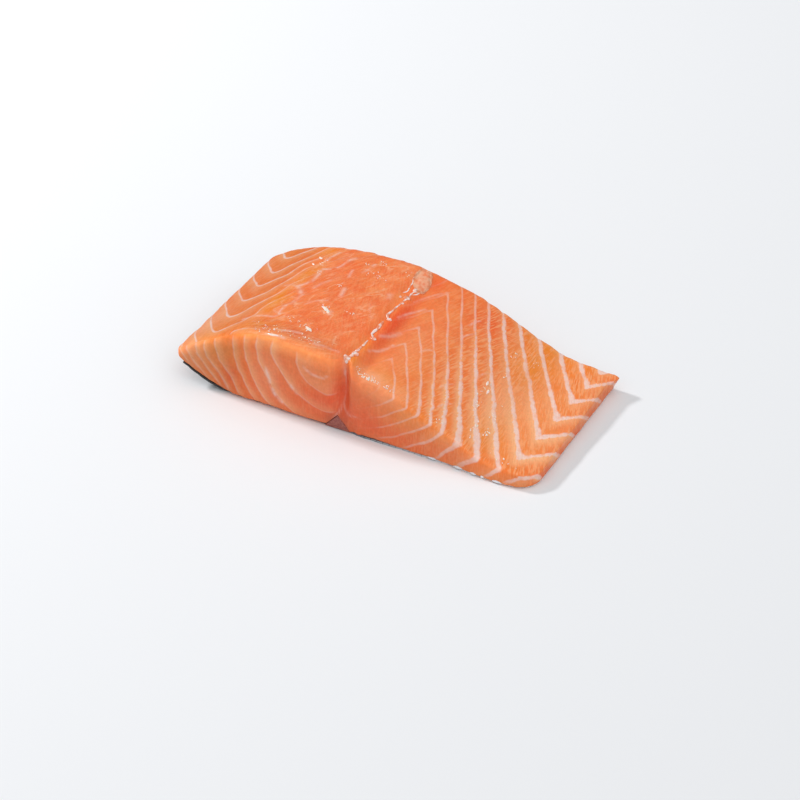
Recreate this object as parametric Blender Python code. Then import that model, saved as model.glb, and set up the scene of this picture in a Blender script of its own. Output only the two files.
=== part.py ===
"""Raw salmon fillet: one skin-on portion, lying on its skin.

Three solids: the orange flesh, the strip of brown muscle that lies in a groove
under its seam, and the skin below them both. +X runs along the portion from the
thick back muscle to the thin belly end, -Y is the front cut face, +Y the back
one, and +Z is up. The board that the fillet lies on is at Z = 0.

The sizes below are in millimetres. The meshes are made in metres.
"""

import math

import bmesh
import bpy

MM = 0.001

# The whole portion.
LENGTH = 145.0
WIDTH = 67.4
HALF_LENGTH = LENGTH / 2
HALF_WIDTH = WIDTH / 2

# The layers below the flesh.
SKIN_THICKNESS = 0.9
GAP = 0.3
FLESH_FLOOR = SKIN_THICKNESS + GAP

# Height of the flesh's top above the board, as (X, height), along the front and
# the back cut. The back muscle and the belly flap have a curve each, and they
# pass each other at the seam.
BACK_MUSCLE_FRONT = (
    (-72.5, 12.9), (-62, 19.6), (-50, 26.2), (-40, 30.2), (-30, 31.4), (-17, 30.2), (4, 28.6),
)
BACK_MUSCLE_BACK = (
    (-72.5, 13.4), (-62, 19.7), (-50, 25.0), (-38, 28.2), (-24, 30.0), (-12, 30.2), (4, 28.8),
)
BELLY_FRONT = ((-8, 24.6), (2, 24.2), (16, 21.4), (30, 15.8), (42, 10.6), (54, 6.4), (72.5, 4.6))
BELLY_BACK = ((-8, 29.8), (2, 28.5), (16, 24.5), (30, 18.7), (44, 12.0), (56, 8.0), (72.5, 6.6))
# The flap rises quickly from its front curve to its back one.
FLAP_RISE_POWER = 0.65

# The crown that the thick end has between its two cut faces.
CROWN_HEIGHT = 0.8
CROWN_X = -31.5
CROWN_REACH = 30.0

# The underside is flat from the belly end to here, then curls up to the tip.
CURL_START = -46.0
CURL_RISE = 9.6
CURL_POWER = 1.7

# The seam between back muscle and belly flap wanders along the width.
SEAM_X = -3.0
SEAM_WANDER = 1.0
SEAM_WAVE = 62.0
SEAM_SHIFT = 8.4
STEP_RUN = 7.0
SEAM_GROOVE_FRONT = 1.3
SEAM_GROOVE_BACK = 0.4
SEAM_GROOVE_HALF = 1.8

# The notch where the seam opens in the front cut face.
NOTCH_DEPTH = 4.2
NOTCH_HALF = 3.0
NOTCH_FLOOR = 4.0
NOTCH_RISE = 12.0

# The front cut face leans out towards its foot, and swells in two places.
FOOT_OUT = 0.9
LOIN_SWELL = 1.2
LOIN_SWELL_START = 0.04
LOIN_SWELL_X = -18.5
LOIN_SWELL_REACH = 17.0
FLAP_SWELL = 1.4
FLAP_SWELL_X = 56.5
FLAP_SWELL_REACH = 13.0
FACE_REACH = 16.0

# Rounded edges, the tip's lean, and the corners of the belly end seen from above.
EDGE_ROUND = 2.6
EDGE_SHARE = 0.46
TIP_ROUND = 3.0
TIP_LEAN = 1.6
TIP_LEAN_REACH = 14.0
FRONT_CORNER_ROUND = 7.0
BACK_CORNER_OUT = 2.4
BACK_CORNER_REACH = 8.0
BACK_CORNER_LEVEL = 6.0

# The strip of brown muscle, a wedge that lies on the skin under the seam.
WEDGE_X = -5.0
WEDGE_HALF = 4.8
WEDGE_HEIGHT = 5.7
WEDGE_SIDE_GAP = 0.9
WEDGE_TOP_GAP = 0.5

# The skin ends short of the flesh at the tip and stands out a little in front.
SKIN_TIP_SHORT = 3.2
SKIN_END_SHORT = 0.4
SKIN_FRONT_OUT = 0.3

# Where the solids are cut into rows, as (end of the band, number of rows in it).
WEDGE_START = WEDGE_X - WEDGE_HALF
WEDGE_END = WEDGE_X + WEDGE_HALF
THICK_COLUMNS = ((-66, 4), (WEDGE_START, 17), (WEDGE_X, 3), (WEDGE_END, 3))
THIN_COLUMNS = ((8, 6), (66, 17), (HALF_LENGTH, 4))
FLESH_COLUMNS = (-HALF_LENGTH, THICK_COLUMNS + THIN_COLUMNS)
FLESH_ROWS = (-HALF_WIDTH, ((-28, 4), (28, 14), (HALF_WIDTH, 3)))
SKIN_COLUMNS = (-HALF_LENGTH + SKIN_TIP_SHORT, ((-50, 8), (HALF_LENGTH - SKIN_END_SHORT, 14)))
SKIN_ROWS = (-HALF_WIDTH, ((HALF_WIDTH, 10),))
FLESH_LAYERS = (0.05, 0.2, 0.4, 0.6, 0.8, 0.94)
WEDGE_HALF_COLUMNS = 3
WEDGE_ROWS = 12

# Colours of the finishes.
FLESH_COLOUR = (0.82, 0.26, 0.10, 1.0)
BROWN_MUSCLE_COLOUR = (0.29, 0.09, 0.07, 1.0)
SKIN_COLOUR = (0.10, 0.11, 0.12, 1.0)


def clamp(value, low, high):
    """Return the value, held between low and high."""
    return max(low, min(high, value))


def mix(first, second, share):
    """Return the point that lies share of the way from first to second."""
    return first + (second - first) * share


def ease(value):
    """Return a smooth step that rises from 0 at 0 to 1 at 1."""
    t = clamp(value, 0.0, 1.0)
    return t * t * (3.0 - 2.0 * t)


def bell(value):
    """Return a smooth hump of height 1 at 0."""
    return math.exp(-value * value)


def curve(stations, x):
    """Return the height at x of the smooth curve through the stations.

    The curve never overshoots its stations: a tangent is the harmonic mean of the
    slopes beside it, and it is level where they have opposite signs.
    """
    slopes = []
    for (x0, h0), (x1, h1) in zip(stations, stations[1:]):
        slopes.append((h1 - h0) / (x1 - x0))
    tangents = [slopes[0]]
    for before, after in zip(slopes, slopes[1:]):
        same_way = before * after > 0.0
        tangents.append(2.0 * before * after / (before + after) if same_way else 0.0)
    tangents.append(slopes[-1])
    x = clamp(x, stations[0][0], stations[-1][0])
    index = 0
    while index < len(slopes) - 1 and x > stations[index + 1][0]:
        index += 1
    (x0, h0), (x1, h1) = stations[index], stations[index + 1]
    run = x1 - x0
    t = (x - x0) / run
    start = h0 * (1.0 + 2.0 * t) * (1.0 - t) ** 2 + run * tangents[index] * t * (1.0 - t) ** 2
    end = h1 * t * t * (3.0 - 2.0 * t) - run * tangents[index + 1] * t * t * (1.0 - t)
    return start + end


def seam_x(y):
    """Return where the seam crosses the top at this Y."""
    return SEAM_X + SEAM_WANDER * math.cos(2.0 * math.pi * (y + SEAM_SHIFT) / SEAM_WAVE)


def underside(x):
    """Return the height of the skin's outer side, which curls up at the tip."""
    share = max(0.0, (CURL_START - x) / (CURL_START + HALF_LENGTH))
    return CURL_RISE * share ** CURL_POWER


def wedge_height(x):
    """Return how high the brown muscle's groove reaches above the flesh's floor."""
    return WEDGE_HEIGHT * max(0.0, 1.0 - abs(x - WEDGE_X) / WEDGE_HALF)


def flesh_bottom(x):
    """Return the height of the flesh's underside, with the brown muscle's groove."""
    return underside(x) + FLESH_FLOOR + wedge_height(x)


def flesh_top(x, y):
    """Return the height of the flesh's top, before its edges are rounded."""
    across = clamp((y + HALF_WIDTH) / WIDTH, 0.0, 1.0)
    muscle = mix(curve(BACK_MUSCLE_FRONT, x), curve(BACK_MUSCLE_BACK, x), across)
    flap = mix(curve(BELLY_FRONT, x), curve(BELLY_BACK, x), across ** FLAP_RISE_POWER)
    from_seam = x - seam_x(y)
    height = mix(muscle, flap, ease(from_seam / STEP_RUN))
    groove = mix(SEAM_GROOVE_FRONT, SEAM_GROOVE_BACK, math.sqrt(across))
    height -= groove * bell(from_seam / SEAM_GROOVE_HALF)
    height += CROWN_HEIGHT * math.sin(math.pi * across) * bell((x - CROWN_X) / CROWN_REACH)
    return height


def front_face_shift(x, z):
    """Return how far the front cut face lies behind its nominal plane."""
    level = clamp((z - NOTCH_FLOOR) / NOTCH_RISE, 0.0, 1.0)
    notch = NOTCH_DEPTH * ease(level) * bell((x - seam_x(-HALF_WIDTH)) / NOTCH_HALF)
    height = clamp(z / flesh_top(x, -HALF_WIDTH), 0.0, 1.0)
    foot = FOOT_OUT * (1.0 - height)
    loin = LOIN_SWELL * math.sin(math.pi * mix(LOIN_SWELL_START, 1.0, height))
    loin *= bell((x - LOIN_SWELL_X) / LOIN_SWELL_REACH)
    flap = FLAP_SWELL * bell((x - FLAP_SWELL_X) / FLAP_SWELL_REACH)
    return notch - foot - loin - flap


def shape_outline(x, y, z):
    """Return a point's X and Y once the tip, the cut faces and the corners are shaped."""
    near_front = clamp(1.0 - (y + HALF_WIDTH) / FACE_REACH, 0.0, 1.0) ** 1.5
    near_end = clamp((x - HALF_LENGTH) / FRONT_CORNER_ROUND + 1.0, 0.0, 1.0)
    corner = clamp(1.0 - (y + HALF_WIDTH) / FRONT_CORNER_ROUND, 0.0, 1.0)
    reach = max(near_end, corner)
    if near_end > 0.0 and corner > 0.0:
        pull = reach / math.hypot(near_end, corner)
        x += FRONT_CORNER_ROUND * near_end * (pull - 1.0)
        y -= FRONT_CORNER_ROUND * corner * (pull - 1.0)
    y += front_face_shift(x, z) * near_front
    back_corner = clamp(1.0 - (HALF_WIDTH - y) / BACK_CORNER_REACH, 0.0, 1.0)
    x += BACK_CORNER_OUT * ease(back_corner) * near_end * clamp(z / BACK_CORNER_LEVEL, 0.0, 1.0)
    near_tip = clamp(1.0 - (x + HALF_LENGTH) / TIP_LEAN_REACH, 0.0, 1.0)
    x += TIP_LEAN * clamp((y + HALF_WIDTH) / WIDTH, 0.0, 1.0) * near_tip
    return x, y


def round_box(point, half_sizes, radii):
    """Move a point of a box's surface so that the box's edges are rounded."""
    inner = []
    offset = []
    for value, half, radius in zip(point, half_sizes, radii):
        core = clamp(value, radius - half, half - radius)
        inner.append(core)
        offset.append((value - core) / radius)
    length = math.sqrt(sum(part * part for part in offset))
    if length < 1e-9:
        return point
    return [core + part * radius / length for core, part, radius in zip(inner, offset, radii)]


def place_flesh(x, y, layer):
    """Return where a point of the flesh's box goes; layer is 0 below and 1 on top."""
    half_height = (flesh_top(x, y) - flesh_bottom(x)) / 2
    upright = min(EDGE_ROUND if layer > 0.5 else FLESH_FLOOR, 2.0 * EDGE_SHARE * half_height)
    along = mix(TIP_ROUND, EDGE_ROUND, ease((x + HALF_LENGTH) / TIP_ROUND))
    box_point = (x, y, (2.0 * layer - 1.0) * half_height)
    half_sizes = (HALF_LENGTH, HALF_WIDTH, half_height)
    x, y, height = round_box(box_point, half_sizes, (along, EDGE_ROUND, upright))
    z = mix(flesh_bottom(x), flesh_top(x, y), 0.5 + height / (2.0 * half_height))
    x, y = shape_outline(x, y, z)
    return x, y, z


def place_wedge(x, y, layer):
    """Return where a point of the brown muscle's box goes."""
    z = underside(x) + FLESH_FLOOR + layer * (wedge_height(x) - WEDGE_TOP_GAP)
    x, y = shape_outline(x, y, z)
    return x, y, z


def place_skin(x, y, layer):
    """Return where a point of the skin's box goes."""
    z = underside(x) + layer * SKIN_THICKNESS
    x, y = shape_outline(x, y, z)
    near_front = clamp(1.0 - (y + HALF_WIDTH) / FACE_REACH, 0.0, 1.0)
    return x, y - SKIN_FRONT_OUT * near_front, z


def stations(bands):
    """Return every station of the bands, evenly spaced inside each band."""
    start, ends = bands
    places = [start]
    for end, count in ends:
        places += [mix(start, end, (index + 1) / count) for index in range(count)]
        start = end
    return places


def cut_box(columns, rows, layers):
    """Return a bmesh box that spans the stations and is cut at each of them."""
    mesh = bmesh.new()
    bmesh.ops.create_cube(mesh, size=2.0)
    for vert in mesh.verts:
        for axis, places in enumerate((columns, rows, layers)):
            vert.co[axis] = places[0] if vert.co[axis] < 0.0 else places[-1]
    for axis, places in enumerate((columns, rows, layers)):
        normal = [0.0, 0.0, 0.0]
        normal[axis] = 1.0
        for place in places[1:-1]:
            point = [0.0, 0.0, 0.0]
            point[axis] = place
            everything = mesh.verts[:] + mesh.edges[:] + mesh.faces[:]
            bmesh.ops.bisect_plane(mesh, geom=everything, plane_co=point, plane_no=normal)
    return mesh


def finish(name, colour, roughness):
    """Return a material in one colour."""
    material = bpy.data.materials.new(name)
    material.use_nodes = True
    shader = material.node_tree.nodes["Principled BSDF"]
    shader.inputs["Base Color"].default_value = colour
    shader.inputs["Roughness"].default_value = roughness
    shader.inputs["Metallic"].default_value = 0.0
    return material


def make_solid(name, mesh, place, material, parent):
    """Move the box's points to their places and return the finished object."""
    for vert in mesh.verts:
        vert.co = [size * MM for size in place(*vert.co)]
    bmesh.ops.triangulate(mesh, faces=mesh.faces[:])
    bmesh.ops.recalc_face_normals(mesh, faces=mesh.faces[:])
    data = bpy.data.meshes.new(name)
    mesh.to_mesh(data)
    mesh.free()
    data.materials.append(material)
    data.shade_smooth()
    data.set_sharp_from_angle(angle=math.radians(50.0))
    solid = bpy.data.objects.new(name, data)
    solid.parent = parent
    bpy.context.scene.collection.objects.link(solid)
    return solid


def make_flesh(parent):
    """Make the flesh, from the thick back muscle to the thin belly flap."""
    layers = [0.0, *FLESH_LAYERS, 1.0]
    box = cut_box(stations(FLESH_COLUMNS), stations(FLESH_ROWS), layers)
    return make_solid("flesh", box, place_flesh, finish("flesh", FLESH_COLOUR, 0.35), parent)


def make_dark_muscle(parent):
    """Make the strip of brown muscle that fills the groove under the seam."""
    start = WEDGE_START + WEDGE_SIDE_GAP
    end = WEDGE_END - WEDGE_SIDE_GAP
    columns = stations((start, ((WEDGE_X, WEDGE_HALF_COLUMNS), (end, WEDGE_HALF_COLUMNS))))
    rows = stations((-HALF_WIDTH, ((HALF_WIDTH, WEDGE_ROWS),)))
    box = cut_box(columns, rows, [0.0, 1.0])
    material = finish("dark_muscle", BROWN_MUSCLE_COLOUR, 0.4)
    return make_solid("dark_muscle", box, place_wedge, material, parent)


def make_skin(parent):
    """Make the skin that the fillet lies on."""
    box = cut_box(stations(SKIN_COLUMNS), stations(SKIN_ROWS), [0.0, 1.0])
    return make_solid("skin", box, place_skin, finish("skin", SKIN_COLOUR, 0.3), parent)


def centre_on_origin(parent, solids):
    """Move the parent so that the middle of the solids' box stands on the origin."""
    for axis in (0, 1):
        places = [vert.co[axis] for solid in solids for vert in solid.data.vertices]
        parent.location[axis] = -(min(places) + max(places)) / 2


def main():
    """Empty the scene and make the fillet."""
    for old in list(bpy.data.objects):
        bpy.data.objects.remove(old, do_unlink=True)
    fillet = bpy.data.objects.new("fillet", None)
    bpy.context.scene.collection.objects.link(fillet)
    solids = [make_flesh(fillet), make_dark_muscle(fillet), make_skin(fillet)]
    centre_on_origin(fillet, solids)


main()
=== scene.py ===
import logging
import math
from collections.abc import Callable
from dataclasses import dataclass
from enum import Enum

import bmesh
import bpy
import numpy as np
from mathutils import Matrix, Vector, noise
from mathutils.bvhtree import BVHTree


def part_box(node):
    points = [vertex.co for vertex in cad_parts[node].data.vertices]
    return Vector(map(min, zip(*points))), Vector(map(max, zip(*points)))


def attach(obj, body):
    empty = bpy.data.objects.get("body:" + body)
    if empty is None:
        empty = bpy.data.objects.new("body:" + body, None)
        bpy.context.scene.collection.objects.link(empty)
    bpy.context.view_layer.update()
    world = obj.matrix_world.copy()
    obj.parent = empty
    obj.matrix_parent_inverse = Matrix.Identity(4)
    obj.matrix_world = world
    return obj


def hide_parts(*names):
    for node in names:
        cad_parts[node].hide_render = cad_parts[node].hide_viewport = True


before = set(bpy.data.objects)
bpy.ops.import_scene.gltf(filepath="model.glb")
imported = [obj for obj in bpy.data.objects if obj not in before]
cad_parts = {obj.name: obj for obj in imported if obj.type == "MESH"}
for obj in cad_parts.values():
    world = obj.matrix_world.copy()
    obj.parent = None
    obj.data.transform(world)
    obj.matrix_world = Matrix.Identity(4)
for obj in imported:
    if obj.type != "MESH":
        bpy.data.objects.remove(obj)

# A raw salmon fillet portion with its skin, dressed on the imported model.
#
# Sizes are millimetres in the fillet's own axes: X runs from the tip of the back muscle to the
# end of the belly flap, Y from the front cut face to the back one, and Z up from the board.
# Points are arrays with one row of X, Y and Z for each. They are turned to metres, and moved
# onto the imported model, when a piece is shown.

MM = 0.001
BODY = "root"
NOISE_STEPS = (17.3, 9.1, 5.7)
log = logging.getLogger("fillet")
Array = np.ndarray
Socket = bpy.types.NodeSocket
Pair = tuple[float, float]
Triple = tuple[float, float, float]


def mix(first: Array, second: Array, share: Array) -> Array:
    """Blend two values by a share of 0 to 1."""
    return first + (second - first) * share


def ease(share: Array) -> Array:
    """Turn a 0 to 1 share into one that starts and ends softly."""
    held = np.clip(share, 0.0, 1.0)
    return held * held * (3.0 - 2.0 * held)


def bell(distance: Array) -> Array:
    """Fall smoothly from 1 to 0 as the distance grows past 1."""
    return np.exp(-distance * distance)


def wander(points: Array, size: float, seed: int) -> Array:
    """Read smooth noise of about -1 to 1 at each point, whose swells have the given size."""
    shift = Vector([seed * step for step in NOISE_STEPS])
    return np.array([noise.noise(Vector(point) / size + shift) for point in points])


def turned(across: float, along: float, angle: float) -> Pair:
    """Turn a step in the plane by an angle in radians."""
    cos, sin = math.cos(angle), math.sin(angle)
    return across * cos - along * sin, across * sin + along * cos


@dataclass(frozen=True)
class Curve:
    """A smooth line through a few stations, which never overshoots them."""

    stations: tuple[Pair, ...]

    def __call__(self, at: Array) -> Array:
        """Read the curve's value at each place along the first value of the stations.

        Args:
            at: Where it is read.

        Returns:
            The value at each place.
        """
        spots, values = np.array(self.stations, float).T
        steps = np.diff(spots)
        slopes = np.diff(values) / steps
        products = slopes[:-1] * slopes[1:]
        sums = np.where(products > 0, slopes[:-1] + slopes[1:], 1.0)
        inner = np.where(products > 0, 2 * products / sums, 0)
        tangents = np.concatenate(([slopes[0]], inner, [slopes[-1]]))
        held = np.clip(at, spots[0], spots[-1])
        i = np.clip(np.searchsorted(spots, held) - 1, 0, len(steps) - 1)
        t = (held - spots[i]) / steps[i]
        leaving, arriving = tangents[i] * t * (1 - t) ** 2, tangents[i + 1] * t * t * (1 - t)
        return mix(values[i], values[i + 1], ease(t)) + steps[i] * (leaving - arriving)


def traces(stations: tuple[tuple[float, ...], ...]) -> list[Curve]:
    """Give one curve for each value of the stations, read by a station's number."""
    return [Curve(tuple(enumerate(column))) for column in zip(*stations)]


@dataclass(frozen=True)
class FilletForm:
    """The shape that the flesh, the dark muscle and the skin share."""

    length: float = 145.0
    width: float = 67.4
    # Heights along the front and rear edges of the back muscle and of the belly flap.
    back_front: Curve = Curve(
        ((-72.5, 12.9), (-62, 19.6), (-50, 26.2), (-40, 30.2), (-30, 31.4), (-17, 30.2), (4, 28.6))
    )
    back_rear: Curve = Curve(
        ((-72.5, 13.4), (-62, 19.7), (-50, 25.0), (-38, 28.2), (-24, 30.0), (-12, 30.2), (4, 28.8))
    )
    flap_front: Curve = Curve(
        ((-8, 24.6), (2, 24.2), (16, 21.4), (30, 15.8), (42, 10.6), (54, 6.4), (72.5, 4.6))
    )
    flap_rear: Curve = Curve(
        ((-8, 29.8), (2, 28.5), (16, 24.5), (30, 18.7), (44, 12.0), (56, 8.0), (72.5, 6.6))
    )
    rim: Curve = Curve(((-72.5, 2.6), (-2, 2.8), (8, 3.2), (17, 1.2), (72.5, 0.8)))
    skin: Curve = Curve(((-72.5, 0.4), (-66, 0.6), (-54, 0.7), (-48, 0.5), (72.5, 0.45)))
    curl_start: float = -46.0
    curl_rise: float = 9.6
    wedge_x: float = -5.0
    wedge_half: float = 4.8
    wedge_height: float = 5.7
    # The wavy seam with its groove, the step down to the flap, and the crown of the back muscle.
    seam_middle: float = -3.0
    seam_shift: float = 8.4
    seam_wave: float = 62.0
    step_length: float = 7.0
    seam_groove: Pair = (1.3, 0.4)
    groove_half: float = 1.8
    crown: float = 0.8
    crown_x: float = -31.5
    crown_half: float = 30.0
    # How the front cut face leaves its plane: the notch, the lean, and two swellings.
    notch_depth: float = 4.2
    notch_half: float = 3.0
    front_lean: float = 0.9
    back_swelling: float = 1.2
    back_swelling_x: float = -18.5
    back_swelling_half: float = 17.0
    flap_swelling: float = 1.4
    flap_swelling_x: float = 56.5
    flap_swelling_half: float = 13.0
    front_band: float = 16.0
    # The rounded front corner of the belly end, its sharp rear one, and the slant of the tip.
    corner: float = 7.0
    point_reach: float = 8.0
    point_out: float = 2.4
    slant_reach: float = 14.0
    slant: float = 1.6
    # Radii of the block's edges.
    tip_round: float = 3.0
    side_round: float = 2.6
    foot_round: float = 0.5

    def seam_x(self, y: Array) -> Array:
        """Give where the seam between back muscle and belly flap lies at each width."""
        return self.seam_middle + np.cos(2 * np.pi * (y + self.seam_shift) / self.seam_wave)

    def underside(self, x: Array) -> Array:
        """Give the height of the skin's outer face, which curls up towards the tip."""
        share = np.maximum(0.0, (self.curl_start - x) / (self.curl_start + self.length / 2))
        return self.curl_rise * share**1.7

    def wedge(self, x: Array) -> Array:
        """Give how far the dark muscle reaches up into the flesh."""
        return self.wedge_height * np.maximum(0.0, 1 - np.abs(x - self.wedge_x) / self.wedge_half)

    def bottom(self, x: Array) -> Array:
        """Give the height of the flesh's lower face."""
        return self.underside(x) + self.skin(x) + self.wedge(x)

    def top(self, x: Array, y: Array) -> Array:
        """Give the height of the flesh's upper face.

        Args:
            x: Places along the length.
            y: Places along the width.

        Returns:
            The height at each place.
        """
        back = np.clip((y + self.width / 2) / self.width, 0, 1)
        muscle = mix(self.back_front(x), self.back_rear(x), back)
        flap = mix(self.flap_front(x), self.flap_rear(x), back**0.65)
        past_seam = x - self.seam_x(y)
        height = mix(muscle, flap, ease(past_seam / self.step_length))
        height = height - mix(*self.seam_groove, np.sqrt(back)) * bell(past_seam / self.groove_half)
        return height + self.crown * np.sin(np.pi * back) * bell((x - self.crown_x) / self.crown_half)

    def front_shift(self, x: Array, z: Array) -> Array:
        """Give how far the front cut face stands inwards of a flat one, below zero where it swells.

        Args:
            x: Places along the length.
            z: Heights above the board.

        Returns:
            The shift at each place.
        """
        front = -self.width / 2
        notch = self.notch_depth * ease((z - 4) / 12.0) * bell((x - self.seam_x(front)) / self.notch_half)
        level = np.clip(z / self.top(x, front), 0, 1)
        swell = self.back_swelling * np.sin(np.pi * mix(0.04, 1.0, level))
        swell = swell * bell((x - self.back_swelling_x) / self.back_swelling_half)
        flap_swell = self.flap_swelling * bell((x - self.flap_swelling_x) / self.flap_swelling_half)
        return notch - self.front_lean * (1 - level) - swell - flap_swell

    def outline(self, x: Array, y: Array, z: Array) -> tuple[Array, Array]:
        """Bend a straight-sided block into the fillet's outline.

        Args:
            x: Places along the length.
            y: Places along the width.
            z: Heights above the board.

        Returns:
            The bent places along the length and along the width.
        """
        half_length, half_width = self.length / 2, self.width / 2
        near_front = np.clip(1 - (y + half_width) / self.front_band, 0, 1) ** 1.5
        near_end = np.clip((x - half_length) / self.corner + 1, 0, 1)
        near_corner = np.clip(1 - (y + half_width) / self.corner, 0, 1)
        reach = np.hypot(near_end, near_corner)
        pull = np.maximum(near_end, near_corner) / np.where(reach > 0, reach, 1)
        pull = np.where((near_end > 0) & (near_corner > 0), pull, 1)
        bent_x = x + self.corner * near_end * (pull - 1)
        bent_y = y - self.corner * near_corner * (pull - 1)
        bent_y = bent_y + self.front_shift(bent_x, z) * near_front
        near_point = ease(np.clip(1 - (half_width - bent_y) / self.point_reach, 0, 1))
        bent_x = bent_x + self.point_out * near_point * near_end * np.clip(z / 6.0, 0, 1)
        near_tip = np.clip(1 - (bent_x + half_length) / self.slant_reach, 0, 1)
        back = np.clip((bent_y + half_width) / self.width, 0, 1)
        return bent_x + self.slant * back * near_tip, bent_y

    def place(self, x: Array, y: Array, layer: Array) -> Array:
        """Put points of a plain block's surface on the flesh.

        Args:
            x: Places along the block's length.
            y: Places along the block's width.
            layer: Heights as a share, 0 at the lower face and 1 at the upper.

        Returns:
            The points.
        """
        half_height = (self.top(x, y) - self.bottom(x)) / 2
        rim = self.rim(x)
        round_up = np.minimum(np.where(layer > 0.5, rim, self.foot_round), 0.92 * half_height)
        round_along = mix(self.tip_round, self.side_round, ease((x + self.length / 2) / 3.0))
        spots = [x, y, (2 * layer - 1) * half_height]
        halves = [self.length / 2, self.width / 2, half_height]
        rounds = [round_along, np.minimum(rim, self.side_round), round_up]
        cores = [np.clip(s, r - h, h - r) for s, h, r in zip(spots, halves, rounds)]
        offsets = [(s - c) / r for s, c, r in zip(spots, cores, rounds)]
        reach = np.sqrt(sum(o * o for o in offsets))
        reach = np.where(reach < 1e-9, 1, reach)
        x, y, level = [c + o * r / reach for c, o, r in zip(cores, offsets, rounds)]
        z = mix(self.bottom(x), self.top(x, y), 0.5 + level / (2 * half_height))
        return np.stack([*self.outline(x, y, z), z], 1)


@dataclass(frozen=True)
class FlapSheets:
    """White sheets between the muscle blocks that fold in a zigzag over the belly flap."""

    form: FilletForm
    order: Curve = Curve(
        ((-6, -5.1), (8, -3.31), (20, -1.29), (30, 0.54), (40, 2.10), (52, 3.53), (64, 4.88), (73, 5.84))
    )
    drift: Curve = Curve(
        ((8, 0.094), (20, 0.0935), (30, 0.0864), (40, 0.0775), (56, 0.0726), (64, 0.0745), (73, 0.0765))
    )
    bow: float = 0.7e-5
    bow_x: float = 32.0
    lean: Curve = Curve(((0, 1.25), (10, 1.05), (25, 0.82), (35, 0.74), (50, 1.0)))
    widths: Curve = Curve(((0, 0.4), (8, 0.35), (22, 0.5), (32, 0.85), (45, 1.05), (66, 1.0), (73, 0.9)))
    shown: Curve = Curve(((0, 0.12), (6, 0.26), (9, 0.4), (24, 0.62), (32, 0.88), (66, 0.95), (73, 0.8)))
    upper_fold: float = 8.2
    upper_fall: float = 0.17
    lower_fold: float = 65.2
    lower_fold_drift: float = 0.09

    def ridge(self, y: Array) -> Array:
        """Give where the sheets fold back near the belly end."""
        return self.lower_fold + self.lower_fold_drift * y

    def phase(self, points: Array) -> Array:
        """Count the sheets passed on the way to each point, so a sheet lies at each whole number.

        Args:
            points: Places on the flesh.

        Returns:
            The count at each point.
        """
        x, y, z = points.T
        depth = np.maximum(0, self.form.top(x, y) - z)
        along = x + self.lean(x) * depth
        ridge = self.ridge(y)
        fall = mix(0.55, 0.9, np.clip(y / self.form.width + 0.5, 0, 1))
        folded = np.minimum(along, ridge) - fall * np.maximum(0, along - ridge)
        inner = np.maximum(folded, self.upper_fold)
        count = self.order(inner) + self.drift(inner) * y + self.bow * (inner - self.bow_x) * y * y
        return count + self.upper_fall * np.maximum(0, self.upper_fold - folded)

    def width(self, points: Array) -> Array:
        """Give how wide each sheet shows, wider low on the flap and at the folds.

        Args:
            points: Places on the flesh.

        Returns:
            The width at each point.
        """
        x, y, _ = points.T
        swelling = 0.7 * bell((x - 45) / 6.0) * ease((-16 - y) / 12.0)
        return self.widths(x) + swelling + 0.8 * bell((x - self.ridge(y)) / 2.2)

    def strength(self, points: Array) -> Array:
        """Give how plainly each sheet shows: faint at the seam, on the shoulder and at the skin.

        Args:
            points: Places on the flesh.

        Returns:
            A share for each point.
        """
        x, y, z = points.T
        past_seam = ease((x - self.form.seam_x(y) - 0.6) / 2.5)
        low = ease((z - self.form.underside(x) - 0.6) / 1.6)
        soft = 1 - 0.5 * bell((x - 47) / 4.5) * bell((y - 9) / 13.0)
        shoulder = 1 - 0.8 * ease((13.5 - x) / 4.0) * ease((-16 - y) / 6.0)
        arms = 1 - 0.5 * ease((self.upper_fold - x) / 2.5) * ease((y + 14.0) / 8.0)
        return past_seam * self.shown(x) * low * soft * shoulder * arms

    def halo(self, points: Array) -> Array:
        """Give how plainly a sheet shows through the flesh beside it: most low on the flap.

        Args:
            points: Places on the flesh.

        Returns:
            A share for each point.
        """
        x, y, _ = points.T
        low = mix(0.35, 1.0, ease((16.0 - y) / 34.0)) * ease((x - 14.0) / 16.0)
        return low * mix(0.25, 1.0, ease((y + 32.5) / 3.0))


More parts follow.
